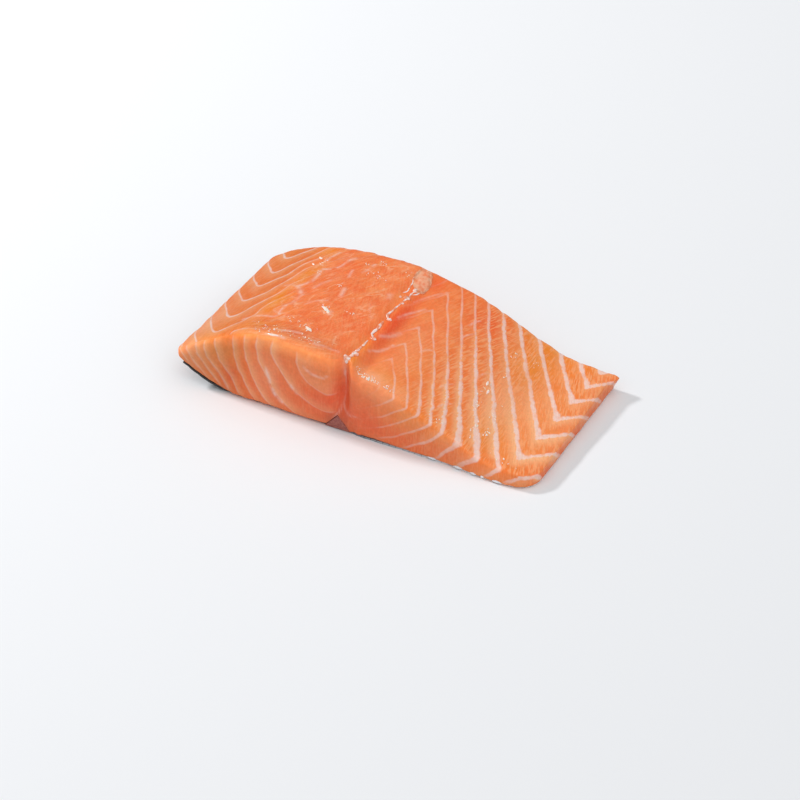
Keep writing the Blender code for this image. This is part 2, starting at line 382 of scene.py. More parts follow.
@dataclass(frozen=True)
class BackSheets:
    """White sheets of the back muscle: hooks on its upper face, arcs on its two cut faces."""

    form: FilletForm
    on_cut: Array
    hook: Curve = Curve(
        (
            (-72.5, 23.0), (-70.5, 17.5), (-68, 12.4), (-65, 8.0), (-62.2, 4.2), (-60, 1.4),
            (-57.8, 0.0), (-55.6, 0.7), (-54, 2.0), (-50, 6.0), (-47, 12.0), (-44, 17.5),
            (-40, 24.0), (-30, 36.0), (-4, 60.0),
        )
    )
    hook_pitch: float = 10.65
    hook_start: float = 7.5
    front_rise: float = 7.6
    # Where the hooks' long arms sway: the middle of each sway, its reach and its amount.
    sways: tuple[tuple[float, float, float, float], ...] = (
        (-50, -21, 6, -3.0), (-53.5, -10, 5, 1.8), (-46.5, -5, 4.5, -2.0), (-52, 3, 5, 3.2),
        (-53, 12, 5, -1.8), (-45, 15, 7.5, 5.0), (-41.5, 0, 4.5, 2.4),
    )
    hooks_shown: Curve = Curve(
        ((-73, 0.6), (-66, 0.85), (-50, 0.8), (-45, 0.5), (-41, 0.2), (-30, 0.05), (-20, 0.0))
    )
    arc_centre: Pair = (-9.0, 26.0)
    arcs: Curve = Curve(
        (
            (0.0, 1.2), (11.5, 2.0), (19.0, 3.0), (27.5, 4.0), (34.0, 5.0), (38.9, 6.0),
            (43.8, 7.0), (48.2, 8.0), (52.1, 9.0), (56.6, 10.0), (60.2, 11.0), (63.6, 12.0),
        )
    )
    arcs_fade_from: Curve = Curve(((-66, -3.0), (-56, -2.0), (-48, -0.4), (-28, 0.6), (-12, 2.8)))

    def phase(self, points: Array) -> Array:
        """Count arcs on the cut faces and hooks elsewhere, as in FlapSheets.phase."""
        return np.where(self.on_cut, self.rings(points), self.hooks(points))

    def hooks(self, points: Array) -> Array:
        """Count the hooked sheets, whose long arms sway and run level near the front rim.

        Args:
            points: Places on the flesh.

        Returns:
            The count at each point.
        """
        x, y, _ = points.T
        rise = self.hook(x)
        for middle_x, middle_y, reach, amount in self.sways:
            rise = rise + amount * bell(np.hypot(x - middle_x, y - middle_y) / reach)
        level = np.minimum(rise, mix(self.front_rise, rise, 0.12))
        rise = np.where(x > -56, mix(level, rise, ease((y + 22.0) / 6.0)), rise)
        return (y + self.hook_start - rise) / self.hook_pitch + 1.0

    def rings(self, points: Array) -> Array:
        """Count the arcs, which lie round one centre and lean over towards the tip.

        Args:
            points: Places on the flesh.

        Returns:
            The count at each point.
        """
        x, _, z = points.T
        reach = np.hypot(x - self.arc_centre[0], z - self.arc_centre[1])
        reach = reach - 3.6 * ease((z - 13) / 12.0) * bell((x + 30) / 8.0)
        slant = 0.6 * (np.minimum(z, 14.0) - 8) * ease((-46 - x) / 12.0)
        return self.arcs(reach - slant)

    def width(self, points: Array) -> Array:
        """Give how wide each sheet shows: the hooks are widest where they turn."""
        return np.where(self.on_cut, 0.55, 0.52 + 0.24 * bell((points[:, 0] + 57) / 5.0))

    def strength(self, points: Array) -> Array:
        """Give how plainly each sheet shows.

        Args:
            points: Places on the flesh.

        Returns:
            A share for each point. The hooks show well at the tip and hardly near the seam. The
            arcs fade below the rim and above the skin.
        """
        x, y, z = points.T
        rim = ease((self.form.width / 2 - 0.5 - np.abs(y)) / 2.0)
        hooks = self.hooks_shown(x) * np.maximum(rim, 0.8 * ease((-58 - x) / 5.0))
        below_rim = self.form.top(x, y) - z - self.arcs_fade_from(x)
        above_skin = z - self.form.underside(x)
        arcs = ease((self.form.seam_x(y) - 1.2 - x) / 3.0) * mix(0.34, 0.2, ease((x + 25) / 8.0))
        arcs = arcs * ease(below_rim / 3.0) * ease((above_skin - 0.8) / 2.0)
        return np.where(self.on_cut, arcs, hooks)


class Tint(Enum):
    """The three ways that patches of flesh differ from the rest; some red ones are painted shade and one
    pale one a painted highlight.
    """

    YELLOW = 0
    RED = 1
    PALE = 2


@dataclass(frozen=True)
class Patch:
    """A soft-edged patch of tinted flesh: its middle, how far it reaches, and how strong it is."""

    centre: Triple
    reach: Triple
    amount: float

    def share(self, points: Array) -> Array:
        """Give how much of the tint each point takes."""
        away = (points - np.array(self.centre)) / np.array(self.reach)
        return self.amount * np.exp(-np.sum(away * away, axis=1))


# A reach so long that the patch is the same all along that axis.
FAR = 400.0
PATCHES: dict[Tint, tuple[Patch, ...]] = {
    Tint.YELLOW: (
        Patch((-43.2, -11, 28), (4.0, 9.5, FAR), 1.0), Patch((-41, 9.5, 27), (3.8, 8, FAR), 0.85),
        Patch((-42, 28, 27), (4.5, 5, FAR), 0.8), Patch((-34, -33, 29), (24, 3.0, 3.6), 0.65),
        Patch((-42, -27, 27), (9, 4, FAR), 0.6), Patch((-62, -31, 18), (9, 4, 6), 0.5),
        Patch((46, 20, 12), (6, 13, FAR), 0.45), Patch((24, -33, 16), (14, 3, 6), 0.4),
        Patch((-2, -28, 25), (2.2, 2.2, FAR), 0.7), Patch((-1, -19, 26), (1.5, 4, FAR), 0.5),
        Patch((54, 0, 8), (22, FAR, FAR), 0.45), Patch((9, -28, 23), (8, 4, 4), 0.6),
        Patch((-60, 0, 19), (13, FAR, 9), 0.65), Patch((44, 33, 11), (26, 3.0, FAR), 0.4),
        Patch((48, -18, 9), (6, 12, FAR), 0.5), Patch((14, -16, 21), (8, 16, 8), 0.25),
    ),
    Tint.RED: (
        # Painted shade: the first three, beside the seam, darken its groove and step. Those on the front cut
        # face (width -31 to -34) darken it lower down and in the notch. The one at 74 darkens the foot of
        # the belly end.
        Patch((1.5, 4, 26), (3.0, 12, FAR), 0.75), Patch((1.0, -10, 26), (2.4, 14, FAR), 0.6),
        Patch((2.5, 28, 26), (3.5, 6, FAR), 0.55), Patch((27, 25, 20), (6, 9, FAR), 0.6),
        Patch((34, -4, 14), (6, 9, FAR), 0.2), Patch((-12, -8, 29), (10, 13, FAR), 0.2),
        Patch((-28, 6, 29), (6, 12, FAR), 0.2), Patch((-18, -33, 7), (30, 6, 8), 0.5),
        Patch((-11, -33, 12), (8, 6, 6.5), 0.65), Patch((-30, -33, 17), (16, 6, 9), 0.35),
        Patch((-4.5, -33, 12), (3.0, 7, 10), 0.9), Patch((-3.0, -31, 22), (1.6, 4, 4), 0.7),
        Patch((-49, -33, 9), (3.0, 6, 4.5), 0.6), Patch((5, -33, 11), (9, 3, 9), 0.65),
        Patch((30, -34, 4), (30, 4, 4.5), 0.5), Patch((74, 0, 1.5), (3.0, FAR, 3.5), 0.6),
        Patch((-60, 3, 20), (9, 26, 8), 0.35),
    ),
    Tint.PALE: (
        Patch((71, 0, 7), (3.5, FAR, 3), 0.2), Patch((-62, -33, 15), (9, 4, 8), 0.35),
        Patch((53, -6, 9), (14, 20, FAR), 0.32), Patch((-30, -32, 30), (24, 3, 3), 0.3),
        # Painted highlight: the patch at (6, -30, 24) lightens the rounded shoulder beside the notch.
        Patch((6, -30, 24), (5, 3, 2.5), 0.7), Patch((-33, -33, 14), (5, 4, 9), 0.3),
        Patch((-67, -20, 15), (6, 12, FAR), 0.6), Patch((44, 34, 11), (26, 1.6, FAR), 0.5),
        Patch((46, -10, 10), (5, 12, FAR), 0.3), Patch((11, -9, 22), (7, 20, 8), 0.28),
        Patch((15, -32, 21), (7, 5, 4), 0.4),
    ),
}


class Face(Enum):
    """The faces of the flesh that a streak can lie on."""

    TOP = 0
    FRONT = 1


@dataclass(frozen=True)
class Streak:
    """A pale veil of connective tissue just under the cut surface.

    Its stations are places along the length and, on the upper face, along the width or, on the
    front cut, above the board.
    """

    stations: tuple[Pair, ...]
    width: float
    amount: float

    def share(self, face: Face, form: FilletForm, points: Array) -> Array:
        """Give how much of the veil each point shows.

        Args:
            face: The face that the streak lies on.
            form: The fillet's shape.
            points: Places on the flesh.

        Returns:
            A share of 0 to 1 for each point.
        """
        steps = np.linspace(0, len(self.stations) - 1, 9 * len(self.stations))
        along, other = (trace(steps) for trace in traces(self.stations))
        if face is Face.TOP:
            path = np.stack([along, other, form.top(along, other)], 1)
        else:
            path = np.stack([along, -form.width / 2 + form.front_shift(along, other), other], 1)
        near = np.full(len(points), np.inf)
        for spot in path:
            near = np.minimum(near, np.sum((points - spot) ** 2, axis=1))
        return self.amount * bell(np.sqrt(near) / self.width)


STREAKS: dict[Face, tuple[Streak, ...]] = {
    Face.TOP: (
        Streak(((-40.5, 0.5), (-38, 2.6), (-36.6, 6), (-36.8, 10), (-38, 13)), 0.8, 0.6),
        Streak(((-40.2, 0.6), (-38.3, -1.5), (-36.6, -3.6)), 0.8, 0.6),
        Streak(((-46, 1.0), (-43, 1.2), (-40, 0.6)), 0.6, 0.35),
        Streak(((-37.5, 14.8), (-35, 15), (-33, 17), (-31.6, 20), (-31, 24), (-29.8, 25.6)), 0.55, 0.75),
        Streak(((-39.6, 21), (-39, 24), (-38, 28)), 0.7, 0.5),
        Streak(((-26.7, 17.5), (-26.2, 15), (-25.6, 12.4)), 0.45, 0.5),
        Streak(((-22.4, 18), (-21.6, 21), (-21.2, 24.5)), 0.7, 0.45),
        Streak(((-23.3, 5), (-22.6, 2), (-22.2, -0.6)), 0.7, 0.5),
        Streak(((-31, -10.5), (-28.5, -7), (-25, -4.4)), 0.35, 0.4),
        Streak(((-33.5, 0.6), (-32.2, 4.6), (-30.5, 7.5)), 0.6, 0.35),
        Streak(((-50, -22.8), (-46, -21.3), (-42, -21.6), (-38, -21.6), (-36.4, -19.6)), 0.45, 0.7),
        Streak(((-37, -13.6), (-37.4, -17), (-36.8, -20)), 0.45, 0.6),
        Streak(((-35.4, -4.6), (-35.9, -8), (-36.2, -12)), 0.7, 0.35),
        Streak(((-20.8, -9.8), (-20.4, -11.4)), 0.8, 0.5),
        Streak(((-30.5, -28.4), (-27, -27.2), (-23.5, -26.4)), 0.45, 0.5),
        Streak(((-35, -32), (-31, -31.8), (-27.5, -32)), 0.45, 0.6),
        Streak(((-17, -29), (-12, -28.3), (-7.6, -28.6)), 0.5, 0.45),
        Streak(((-10.6, 1), (-9.2, -2), (-7.4, -5)), 0.3, 0.35),
        Streak(((-7.6, 10.4), (-7.2, 8.4)), 1.1, 0.35),
        Streak(((0.5, -20.5), (3.5, -16.5), (5.5, -11.5)), 0.5, 0.5),
        Streak(((0.8, 1.5), (2.3, 6), (4.5, 10), (6, 12.5)), 0.5, 0.45),
        Streak(((1.2, 13), (3.2, 17.5), (6, 22.5), (8.4, 26)), 0.4, 0.35),
        Streak(((0.4, -11.5), (2.5, -9), (4.6, -4.5)), 0.8, 0.35),
        Streak(((21.6, 17), (22.2, 20), (23.4, 22.4)), 0.3, 0.6),
        Streak(((22.4, 10), (22.9, 12), (24.4, 14.6)), 0.3, 0.6),
        Streak(((27, -16.4), (27.9, -14), (29.6, -12)), 0.3, 0.6),
        Streak(((30.6, -25), (31.4, -22.5), (33, -20.6)), 0.3, 0.6),
        Streak(((34.5, -2), (35.2, 1), (37, 3.4)), 0.3, 0.5),
        Streak(((14.4, -8), (15.4, -5.6), (17.4, -3.8)), 0.3, 0.45),
    ),
    Face.FRONT: (
        Streak(((-18.4, 23.2), (-16.4, 22), (-13.7, 21.4), (-10.8, 21.3), (-9, 22)), 0.4, 0.55),
        Streak(((-23.6, 13.8), (-22.4, 12.6), (-21.2, 11.6)), 0.7, 0.6),
        Streak(((-34.0, 17.0), (-32.6, 13.4), (-31.4, 9.6), (-29.6, 6.6), (-27.6, 5.0)), 0.75, 0.8),
        Streak(((-4.4, 28.4), (-4.2, 25.4), (-3.9, 22.0)), 0.5, 0.55),
        Streak(((-3.6, 21.4), (-3.1, 17.1), (-3.6, 10.7), (-4.8, 7.6), (-6.4, 5.2)), 0.35, 0.35),
        Streak(((-3.5, 11), (-2.6, 9.2), (-0.8, 8.2), (3, 8.3)), 0.4, 0.5),
    ),
}


def mesh_from(shape: bmesh.types.BMesh, name: str) -> bpy.types.Mesh:
    """Turn a shape into a mesh and let the shape go.

    Args:
        shape: The shape, which is freed.
        name: What the mesh is called.

    Returns:
        The mesh.
    """
    mesh = bpy.data.meshes.new(name)
    shape.to_mesh(mesh)
    shape.free()
    return mesh


def lattice(counts: tuple[int, int, int]) -> bpy.types.Mesh:
    """Make a closed unit cube whose faces are cut into a regular grid.

    Args:
        counts: How many squares there are along X, Y and Z.

    Returns:
        The mesh, with its corners at half a unit from the middle.
    """
    shape = bmesh.new()
    bmesh.ops.create_cube(shape, size=1.0)
    for axis, count in enumerate(counts):
        along = [e for e in shape.edges if abs(e.verts[0].co[axis] - e.verts[1].co[axis]) > 0.5]
        bmesh.ops.subdivide_edges(shape, edges=along, cuts=count - 1, use_grid_fill=True)
    bmesh.ops.recalc_face_normals(shape, faces=shape.faces)
    return mesh_from(shape, "lattice")


def read_rows(items: bpy.types.bpy_prop_collection, name: str) -> Array:
    """Read three values from each item of a mesh, one row for each.

    Args:
        items: The mesh's points or their normals.
        name: What is read from each of them.

    Returns:
        The values.
    """
    flat = np.empty(len(items) * 3)
    items.foreach_get(name, flat)
    return flat.reshape(-1, 3)


def write_points(mesh: bpy.types.Mesh, points: Array) -> None:
    """Move a mesh's points to the given rows."""
    mesh.vertices.foreach_set("co", points.ravel())
    mesh.update()


def keep_vectors(mesh: bpy.types.Mesh, name: str, *columns: Array) -> None:
    """Store three values for each point where a material can read them.

    Args:
        mesh: The mesh that carries the values.
        name: What the material calls them.
        columns: The three values, each an array with one entry for each point.
    """
    rows = np.stack(np.broadcast_arrays(*columns), 1).astype(np.float32)
    mesh.attributes.new(name, "FLOAT_VECTOR", "POINT").data.foreach_set("vector", rows.ravel())


def sheet_spacing(count: Callable[[Array], Array], points: Array, normals: Array) -> Array:
    """Work out how far apart two neighbouring sheets are along the surface.

    Args:
        count: A function that counts the sheets up to each point.
        points: Places on the flesh.
        normals: The direction that each point faces.

    Returns:
        The spacing in millimetres at each point.
    """
    step = 0.06
    rates = [(count(points + axis) - count(points - axis)) / (2 * step) for axis in np.eye(3) * step]
    slope = np.stack(rates, 1)
    slope = slope - normals * np.sum(slope * normals, axis=1, keepdims=True)
    return 1.0 / np.maximum(np.linalg.norm(slope, axis=1), 0.04)


@dataclass(frozen=True)
class Placement:
    """Moves shapes from the fillet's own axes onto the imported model."""

    shift: Array

    @classmethod
    def onto(cls, node: str, points: Array) -> "Placement":
        """Line the box of a shape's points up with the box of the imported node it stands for.

        Args:
            node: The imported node.
            points: The shape's points, in millimetres.

        Returns:
            The placement, which every other piece then shares.
        """
        low, high = (np.array(corner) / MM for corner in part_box(node))
        shift = (low + high) / 2 - (points.min(axis=0) + points.max(axis=0)) / 2
        shift[2] = 0.0
        return cls(shift)

    def to_metres(self, points: Array) -> Array:
        """Turn the fillet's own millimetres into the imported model's metres."""
        return (points + self.shift) * MM

    def show(
        self, mesh: bpy.types.Mesh, name: str, slot: str, material: bpy.types.Material, *nodes: str
    ) -> bpy.types.Object:
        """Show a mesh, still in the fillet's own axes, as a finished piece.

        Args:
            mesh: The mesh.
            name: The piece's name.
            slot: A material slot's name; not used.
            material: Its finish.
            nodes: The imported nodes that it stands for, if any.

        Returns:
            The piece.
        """
        write_points(mesh, self.to_metres(read_rows(mesh.vertices, "co")))
        mesh.name = name
        mesh.materials.append(material)
        mesh.polygons.foreach_set("use_smooth", [True] * len(mesh.polygons))
        piece = bpy.data.objects.new(name, mesh)
        bpy.context.scene.collection.objects.link(piece)
        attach(piece, BODY)
        if nodes:
            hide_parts(*nodes)
        log.info("%s: %d faces", name, len(mesh.polygons))
        return piece


def linear(colour: str) -> tuple[float, float, float, float]:
    """Turn an sRGB hex colour into the linear values that a node takes.

    Args:
        colour: A number sign and six hex digits.

    Returns:
        Red, green, blue and an alpha of 1.
    """
    parts = [int(colour[i : i + 2], 16) / 255 for i in (1, 3, 5)]
    bright = [p / 12.92 if p <= 0.04045 else ((p + 0.055) / 1.055) ** 2.4 for p in parts]
    return (*bright, 1.0)


class Nodes:
    """The nodes of one material or of the world, joined to each other as they are added."""

    # The numbers of a colour mix node's sockets, whose names repeat.
    SHARE, FIRST, SECOND, RESULT = 0, 6, 7, 2

    def __init__(self, owner: bpy.types.Material | bpy.types.World) -> None:
        """Empty the owner's tree.

        Args:
            owner: The material or world that the nodes belong to.
        """
        owner.use_nodes = True
        self.tree = owner.node_tree
        self.tree.nodes.clear()

    def add(
        self, kind: str, inputs: dict | tuple = (), output: int | str = 0, **settings: object
    ) -> Socket | None:
        """Add a node with its settings and links.

        Args:
            kind: The node's type, after the word ShaderNode.
            inputs: Values, hex colours or other nodes' outputs, in order or by the name or number
                of the input.
            output: The name or number of the output that is wanted.
            settings: The node's own properties.

        Returns:
            That output, or nothing where the node has none.
        """
        node = self.tree.nodes.new("ShaderNode" + kind)
        for name, value in settings.items():
            setattr(node, name, value)
        for key, value in inputs.items() if isinstance(inputs, dict) else enumerate(inputs):
            if isinstance(value, Socket):
                self.tree.links.new(value, node.inputs[key])
            else:
                node.inputs[key].default_value = linear(value) if isinstance(value, str) else value
        return node.outputs[output] if node.outputs else None

    def stored(self, name: str) -> list[Socket]:
        """Read the three values that a mesh keeps for each point under a name."""
        vector = self.add("Attribute", output="Vector", attribute_name=name)
        return list(self.add("SeparateXYZ", (vector,)).node.outputs)


@dataclass(frozen=True)
class Strokes:
    """One direction that the muscle fibres take, and where along the fillet they take it."""

    angle: float
    shown: Curve


STROKES = (
    Strokes(
        70.0,
        Curve(
            (
                (-73, 0.3), (-44, 0.3), (-20, 0.3), (-6, 0.15), (0, 0.0), (6, 0.25), (20, 0.6),
                (28, 1.0), (36, 0.8), (46, 0.0),
            )
        ),
    ),
    Strokes(88.0, Curve(((-73, 0.0), (33, 0.0), (44, 0.9), (50, 0.8), (58, 0.0)))),
    Strokes(
        109.0,
        Curve(((-26, 0.0), (-14, 0.3), (-6, 0.3), (0, 0.2), (6, 0.0), (50, 0.0), (60, 0.9), (73, 1.0))),
    ),
)


@dataclass(frozen=True)
class RawFlesh:
    """Raw salmon muscle, knife-cut: orange blocks, white sheets between them and a wet film.

    Thin sheets of collagen and fat show as pale lines, the fibres as short fine strokes, and the
    moisture on the cut gives a soft sheen with small sharp glints.
    """

    orange: str = "#EE733B"
    light_orange: str = "#F48F50"
    yellow: str = "#EC861E"
    red: str = "#EC5426"
    deep: str = "#E65A28"
    pale: str = "#F5AB80"
    halo: str = "#F7BD8C"
    brown: str = "#A3563F"
    sheet: str = "#F0CCC0"
    vein: str = "#FAC6A2"
    fibre: str = "#F6A672"
    # How wide each plain noise is, and how much finer noise it carries.
    blotch: Pair = (7.0, 3.0)
    mottle: Pair = (1.1, 4.0)
    breakup: Pair = (3.2, 2.0)
    glaze: Pair = (0.7, 2.0)
    # How long, wide and high each drawn-out noise is.
    strokes_size: Triple = (4.0, 0.6, 4.0)
    streaks: Triple = (8.0, 2.8, 8.0)
    veins: Triple = (11.0, 4.5, 11.0)
    fringe: Triple = (7.0, 0.8, 7.0)
    streak_angle: float = 56.0
    fringe_angle: float = 11.0
    specular: float = 0.25
    roughness: Pair = (0.3, 0.5)

    def combed(
        self, nodes: Nodes, place: Socket, angle: float, sizes: Triple, detail: float = 2.0
    ) -> Socket:
        """Draw noise out along one direction, as the fibres and the torn streaks lie.

        Args:
            nodes: The material's nodes.
            place: The output that says where a point lies.
            angle: The direction, in degrees from the fillet's length.
            sizes: How long, wide and high its features are, in millimetres.
            detail: How much finer noise it carries.

        Returns:
            The noise's output.
        """
        lie = {"Vector": place, "Rotation": (0, 0, math.radians(angle)), "Scale": [s * MM for s in sizes]}
        lying = nodes.add("Mapping", lie, vector_type="TEXTURE")
        return nodes.add("TexNoise", {"Vector": lying, "Scale": 1.0, "Detail": detail})

    def sheet_mask(
        self, nodes: Nodes, name: str, strength: Socket, breakup: Socket, fuzz: Socket, fray: float
    ) -> tuple[Socket, Socket]:
        """Draw one family of white sheets, which dip under the flesh on one side.

        Args:
            nodes: The material's nodes.
            name: The stored values: the count of sheets, their spacing and their width.
            strength: The output that says how plainly they show.
            breakup: The output that makes them uneven, about 0.5 on average.
            fuzz: The output that frays their edges along the fibres, about 0.5 on average.
            fray: How far it frays them, in millimetres.

        Returns:
            The output that is 1 on a sheet and 0 away from it, and the one that rises towards
            the side on which a sheet shows through the flesh.
        """
        count, spacing, width = nodes.stored(name)
        near = nodes.add("Math", (count, 0.5), operation="PINGPONG")
        away = nodes.add("Math", (near, spacing), operation="MULTIPLY")
        away = nodes.add("Math", (fuzz, fray, away), operation="MULTIPLY_ADD")
        away = nodes.add("Math", (away, 0.5 * fray), operation="SUBTRACT")
        uneven = nodes.add("Math", (breakup, 1.3, 0.35), operation="MULTIPLY_ADD")
        shown_width = nodes.add("Math", (width, uneven), operation="MULTIPLY")
        inner = nodes.add("Math", (shown_width, 0.8, 0.15), operation="MULTIPLY_ADD")
        outer = nodes.add("Math", (shown_width, 0.5, -0.2), operation="MULTIPLY_ADD")
        line = nodes.add("MapRange", (away, inner, outer), interpolation_type="SMOOTHSTEP")
        whole = nodes.add("MapRange", (breakup, 0.3, 0.55, 0.6, 1.0))
        line = nodes.add("Math", (line, whole), operation="MULTIPLY")
        since = nodes.add("Math", (count,), operation="FRACT")
        dip = nodes.add("MapRange", (since, 0.32, 1.0), interpolation_type="SMOOTHSTEP")
        line = nodes.add("Math", (line, strength), operation="MULTIPLY")
        return line, nodes.add("Math", (dip, strength), operation="MULTIPLY")

    def strokes(self, nodes: Nodes, place: Socket) -> Socket:
        """Draw the fibres, in each direction where Flesh says that it holds.

        Args:
            nodes: The material's nodes.
            place: The output that says where a point lies.

        Returns:
            The output that is high on a fibre's crest.
        """
        total = 0.0
        for strokes, share in zip(STROKES, nodes.stored("strokes")):
            grain = self.combed(nodes, place, strokes.angle, self.strokes_size, 1.0)
            crest = nodes.add("MapRange", (grain, 0.47, 0.61))
            total = nodes.add("Math", (crest, share, total), operation="MULTIPLY_ADD")
        return total

    def material(self) -> bpy.types.Material:
        """Build the node material.

        Returns:
            The material, which reads the values that Flesh stores.
        """
        material = bpy.data.materials.new("raw_salmon_muscle")
        nodes = Nodes(material)
        place = nodes.add("TexCoord", output="Object")
        blotch, mottle, breakup, glaze = (
            nodes.add("TexNoise", {"Vector": place, "Scale": 1.0 / (size * MM), "Detail": detail})
            for size, detail in (self.blotch, self.mottle, self.breakup, self.glaze)
        )
        strokes = self.strokes(nodes, place)
        flap_strength, back_strength, veil = nodes.stored("strengths")
        torn, brown, dark = nodes.stored("surface")
        coat, fringe, halo = nodes.stored("film")
        zones = nodes.stored("zones")
        flap_lines, flap_dip = self.sheet_mask(nodes, "flap_sheets", flap_strength, breakup, strokes, 0.4)
        back_lines, back_dip = self.sheet_mask(nodes, "back_sheets", back_strength, breakup, mottle, 0.2)
        dips = nodes.add("Math", (flap_dip, back_dip), operation="MAXIMUM")
        broken = nodes.add("MapRange", (breakup, 0.25, 0.55))
        veil = nodes.add("Math", (veil, broken), operation="MULTIPLY")
        lines = nodes.add("Math", (flap_lines, back_lines), operation="MAXIMUM")
        lines = nodes.add("Math", (lines, veil), operation="MAXIMUM")
        wave = self.combed(nodes, place, self.streak_angle, self.streaks)
        fibres = self.combed(nodes, place, self.fringe_angle, self.fringe)
        vein = self.combed(nodes, place, self.streak_angle, self.veins)
        vein = nodes.add("Math", (vein, 0.5), operation="SUBTRACT")
        vein = nodes.add("Math", (vein,), operation="ABSOLUTE")
        vein = nodes.add("MapRange", (vein, 0.005, 0.03, 0.42, 0.0))
        blotched = nodes.add("MapRange", (blotch, 0.42, 0.58))
        vein = nodes.add("Math", (vein, blotched), operation="MULTIPLY")
        # Each layer's source, the span it is turned by if any, what that is multiplied by if
        # anything, and the colour that it brings.
        layers = (
            (blotch, (0.35, 0.68, 0.0, 0.6), None, self.light_orange),
            (zones[Tint.YELLOW.value], None, None, self.yellow),
            (zones[Tint.RED.value], None, None, self.red),
            (zones[Tint.PALE.value], None, None, self.pale),
            (brown, None, None, self.brown),
            (wave, (0.48, 0.3, 0.0, 0.35), torn, self.deep),
            (wave, (0.54, 0.72, 0.0, 0.24), torn, self.pale),
            (fibres, (0.47, 0.35, 0.0, 0.5), fringe, self.deep),
            (fibres, (0.54, 0.68, 0.0, 0.45), fringe, self.vein),
            (vein, None, torn, self.vein),
            # On the back muscle's cut faces this halo layer is painted light and shade of bulging blocks.
            (dips, None, halo, self.halo),
            (strokes, None, 0.74, self.fibre),
            (lines, None, None, self.sheet),
        )
        colour = self.orange
        for shown, span, times, tone in layers:
            if span is not None:
                shown = nodes.add("MapRange", (shown, *span))
            if times is not None:
                shown = nodes.add("Math", (shown, times), operation="MULTIPLY")
            blend = {Nodes.SHARE: shown, Nodes.FIRST: colour, Nodes.SECOND: tone}
            colour = nodes.add("Mix", blend, Nodes.RESULT, data_type="RGBA")
        # Random mottling, less the stored dark value: painted shade on the tip, the fringe and the cut
        # faces, and painted light where it is below zero at the front rim.
        tone_and_painted_light = nodes.add("MapRange", (mottle, 0.0, 1.0, 0.88, 1.12))
        tone_and_painted_light = nodes.add("Math", (tone_and_painted_light, dark), operation="SUBTRACT")
        colour = nodes.add("VectorMath", {0: colour, "Scale": tone_and_painted_light}, operation="SCALE")
        wet = nodes.add("MapRange", (breakup, 0.3, 0.7, *self.roughness))
        dry = nodes.add("MapRange", (coat, 0.0, 0.1, 0.3, 0.0))
        wet = nodes.add("Math", (wet, dry), operation="ADD")
        rough = nodes.add("Math", (torn, 1.1, 0.3), operation="MULTIPLY_ADD")
        relief = nodes.add("Math", (glaze, rough), operation="MULTIPLY")
        loose = nodes.add("Math", (fibres, fringe), operation="MULTIPLY")
        for part, height in ((mottle, 0.6), (strokes, 0.5), (lines, 0.6), (loose, 4.0)):
            relief = nodes.add("Math", (part, height, relief), operation="MULTIPLY_ADD")
        bump = nodes.add("Bump", {"Height": relief, "Strength": 0.7, "Distance": 0.2 * MM})
        surface = nodes.add(
            "BsdfPrincipled",
            {
                "Base Color": colour,
                "Roughness": wet,
                "IOR": 1.38,
                "Specular IOR Level": self.specular,
                "Subsurface Weight": 0.12,
                "Subsurface Radius": (1.0, 0.4, 0.22),
                "Subsurface Scale": 1.4 * MM,
                "Coat Weight": coat,
                "Coat Roughness": 0.16,
                "Normal": bump,
            },
        )
        nodes.add("OutputMaterial", (surface,))
        return material


@dataclass(frozen=True)
class Tissue:
    """A wet finish whose two tones mix in soft clouds, with low relief along the clouds.

    The span says where in the clouds the second tone starts and where it is full. The relief is
    a strength and a depth, the light below the surface a weight and a depth with what red, green
    and blue reach of it, and the film of moisture a weight and a roughness.
    """

    name: str
    tones: tuple[str, str]
    cloud: float
    detail: float = 2.0
    span: Pair = (0.0, 1.0)
    stretch: Triple = (1.0, 1.0, 1.0)
    relief: Pair = (0.4, 0.2)
    roughness: float = 0.25
    refraction: float = 1.4
    below: Pair = (0.0, 1.0)
    reach: Triple = (1.0, 0.2, 0.1)
    film: Pair = (0.4, 0.03)

    def material(self) -> bpy.types.Material:
        """Build the node material.

        Returns:
            The material.
        """
        material = bpy.data.materials.new(self.name)
        nodes = Nodes(material)
        place = nodes.add("TexCoord", output="Object")
        place = nodes.add("Mapping", {"Vector": place, "Scale": self.stretch})
        cloud = {"Vector": place, "Scale": 1.0 / (self.cloud * MM), "Detail": self.detail}
        cloud = nodes.add("TexNoise", cloud)
        share = nodes.add("MapRange", (cloud, *self.span))
        blend = {Nodes.SHARE: share, Nodes.FIRST: self.tones[0], Nodes.SECOND: self.tones[1]}
        strength, depth = self.relief
        bump = nodes.add("Bump", {"Height": cloud, "Strength": strength, "Distance": depth * MM})
        surface = nodes.add(
            "BsdfPrincipled",
            {
                "Base Color": nodes.add("Mix", blend, Nodes.RESULT, data_type="RGBA"),
                "Roughness": self.roughness,
                "IOR": self.refraction,
                "Subsurface Weight": self.below[0],
                "Subsurface Radius": self.reach,
                "Subsurface Scale": self.below[1] * MM,
                "Coat Weight": self.film[0],
                "Coat Roughness": self.film[1],
                "Normal": bump,
            },
        )
        nodes.add("OutputMaterial", (surface,))
        return material


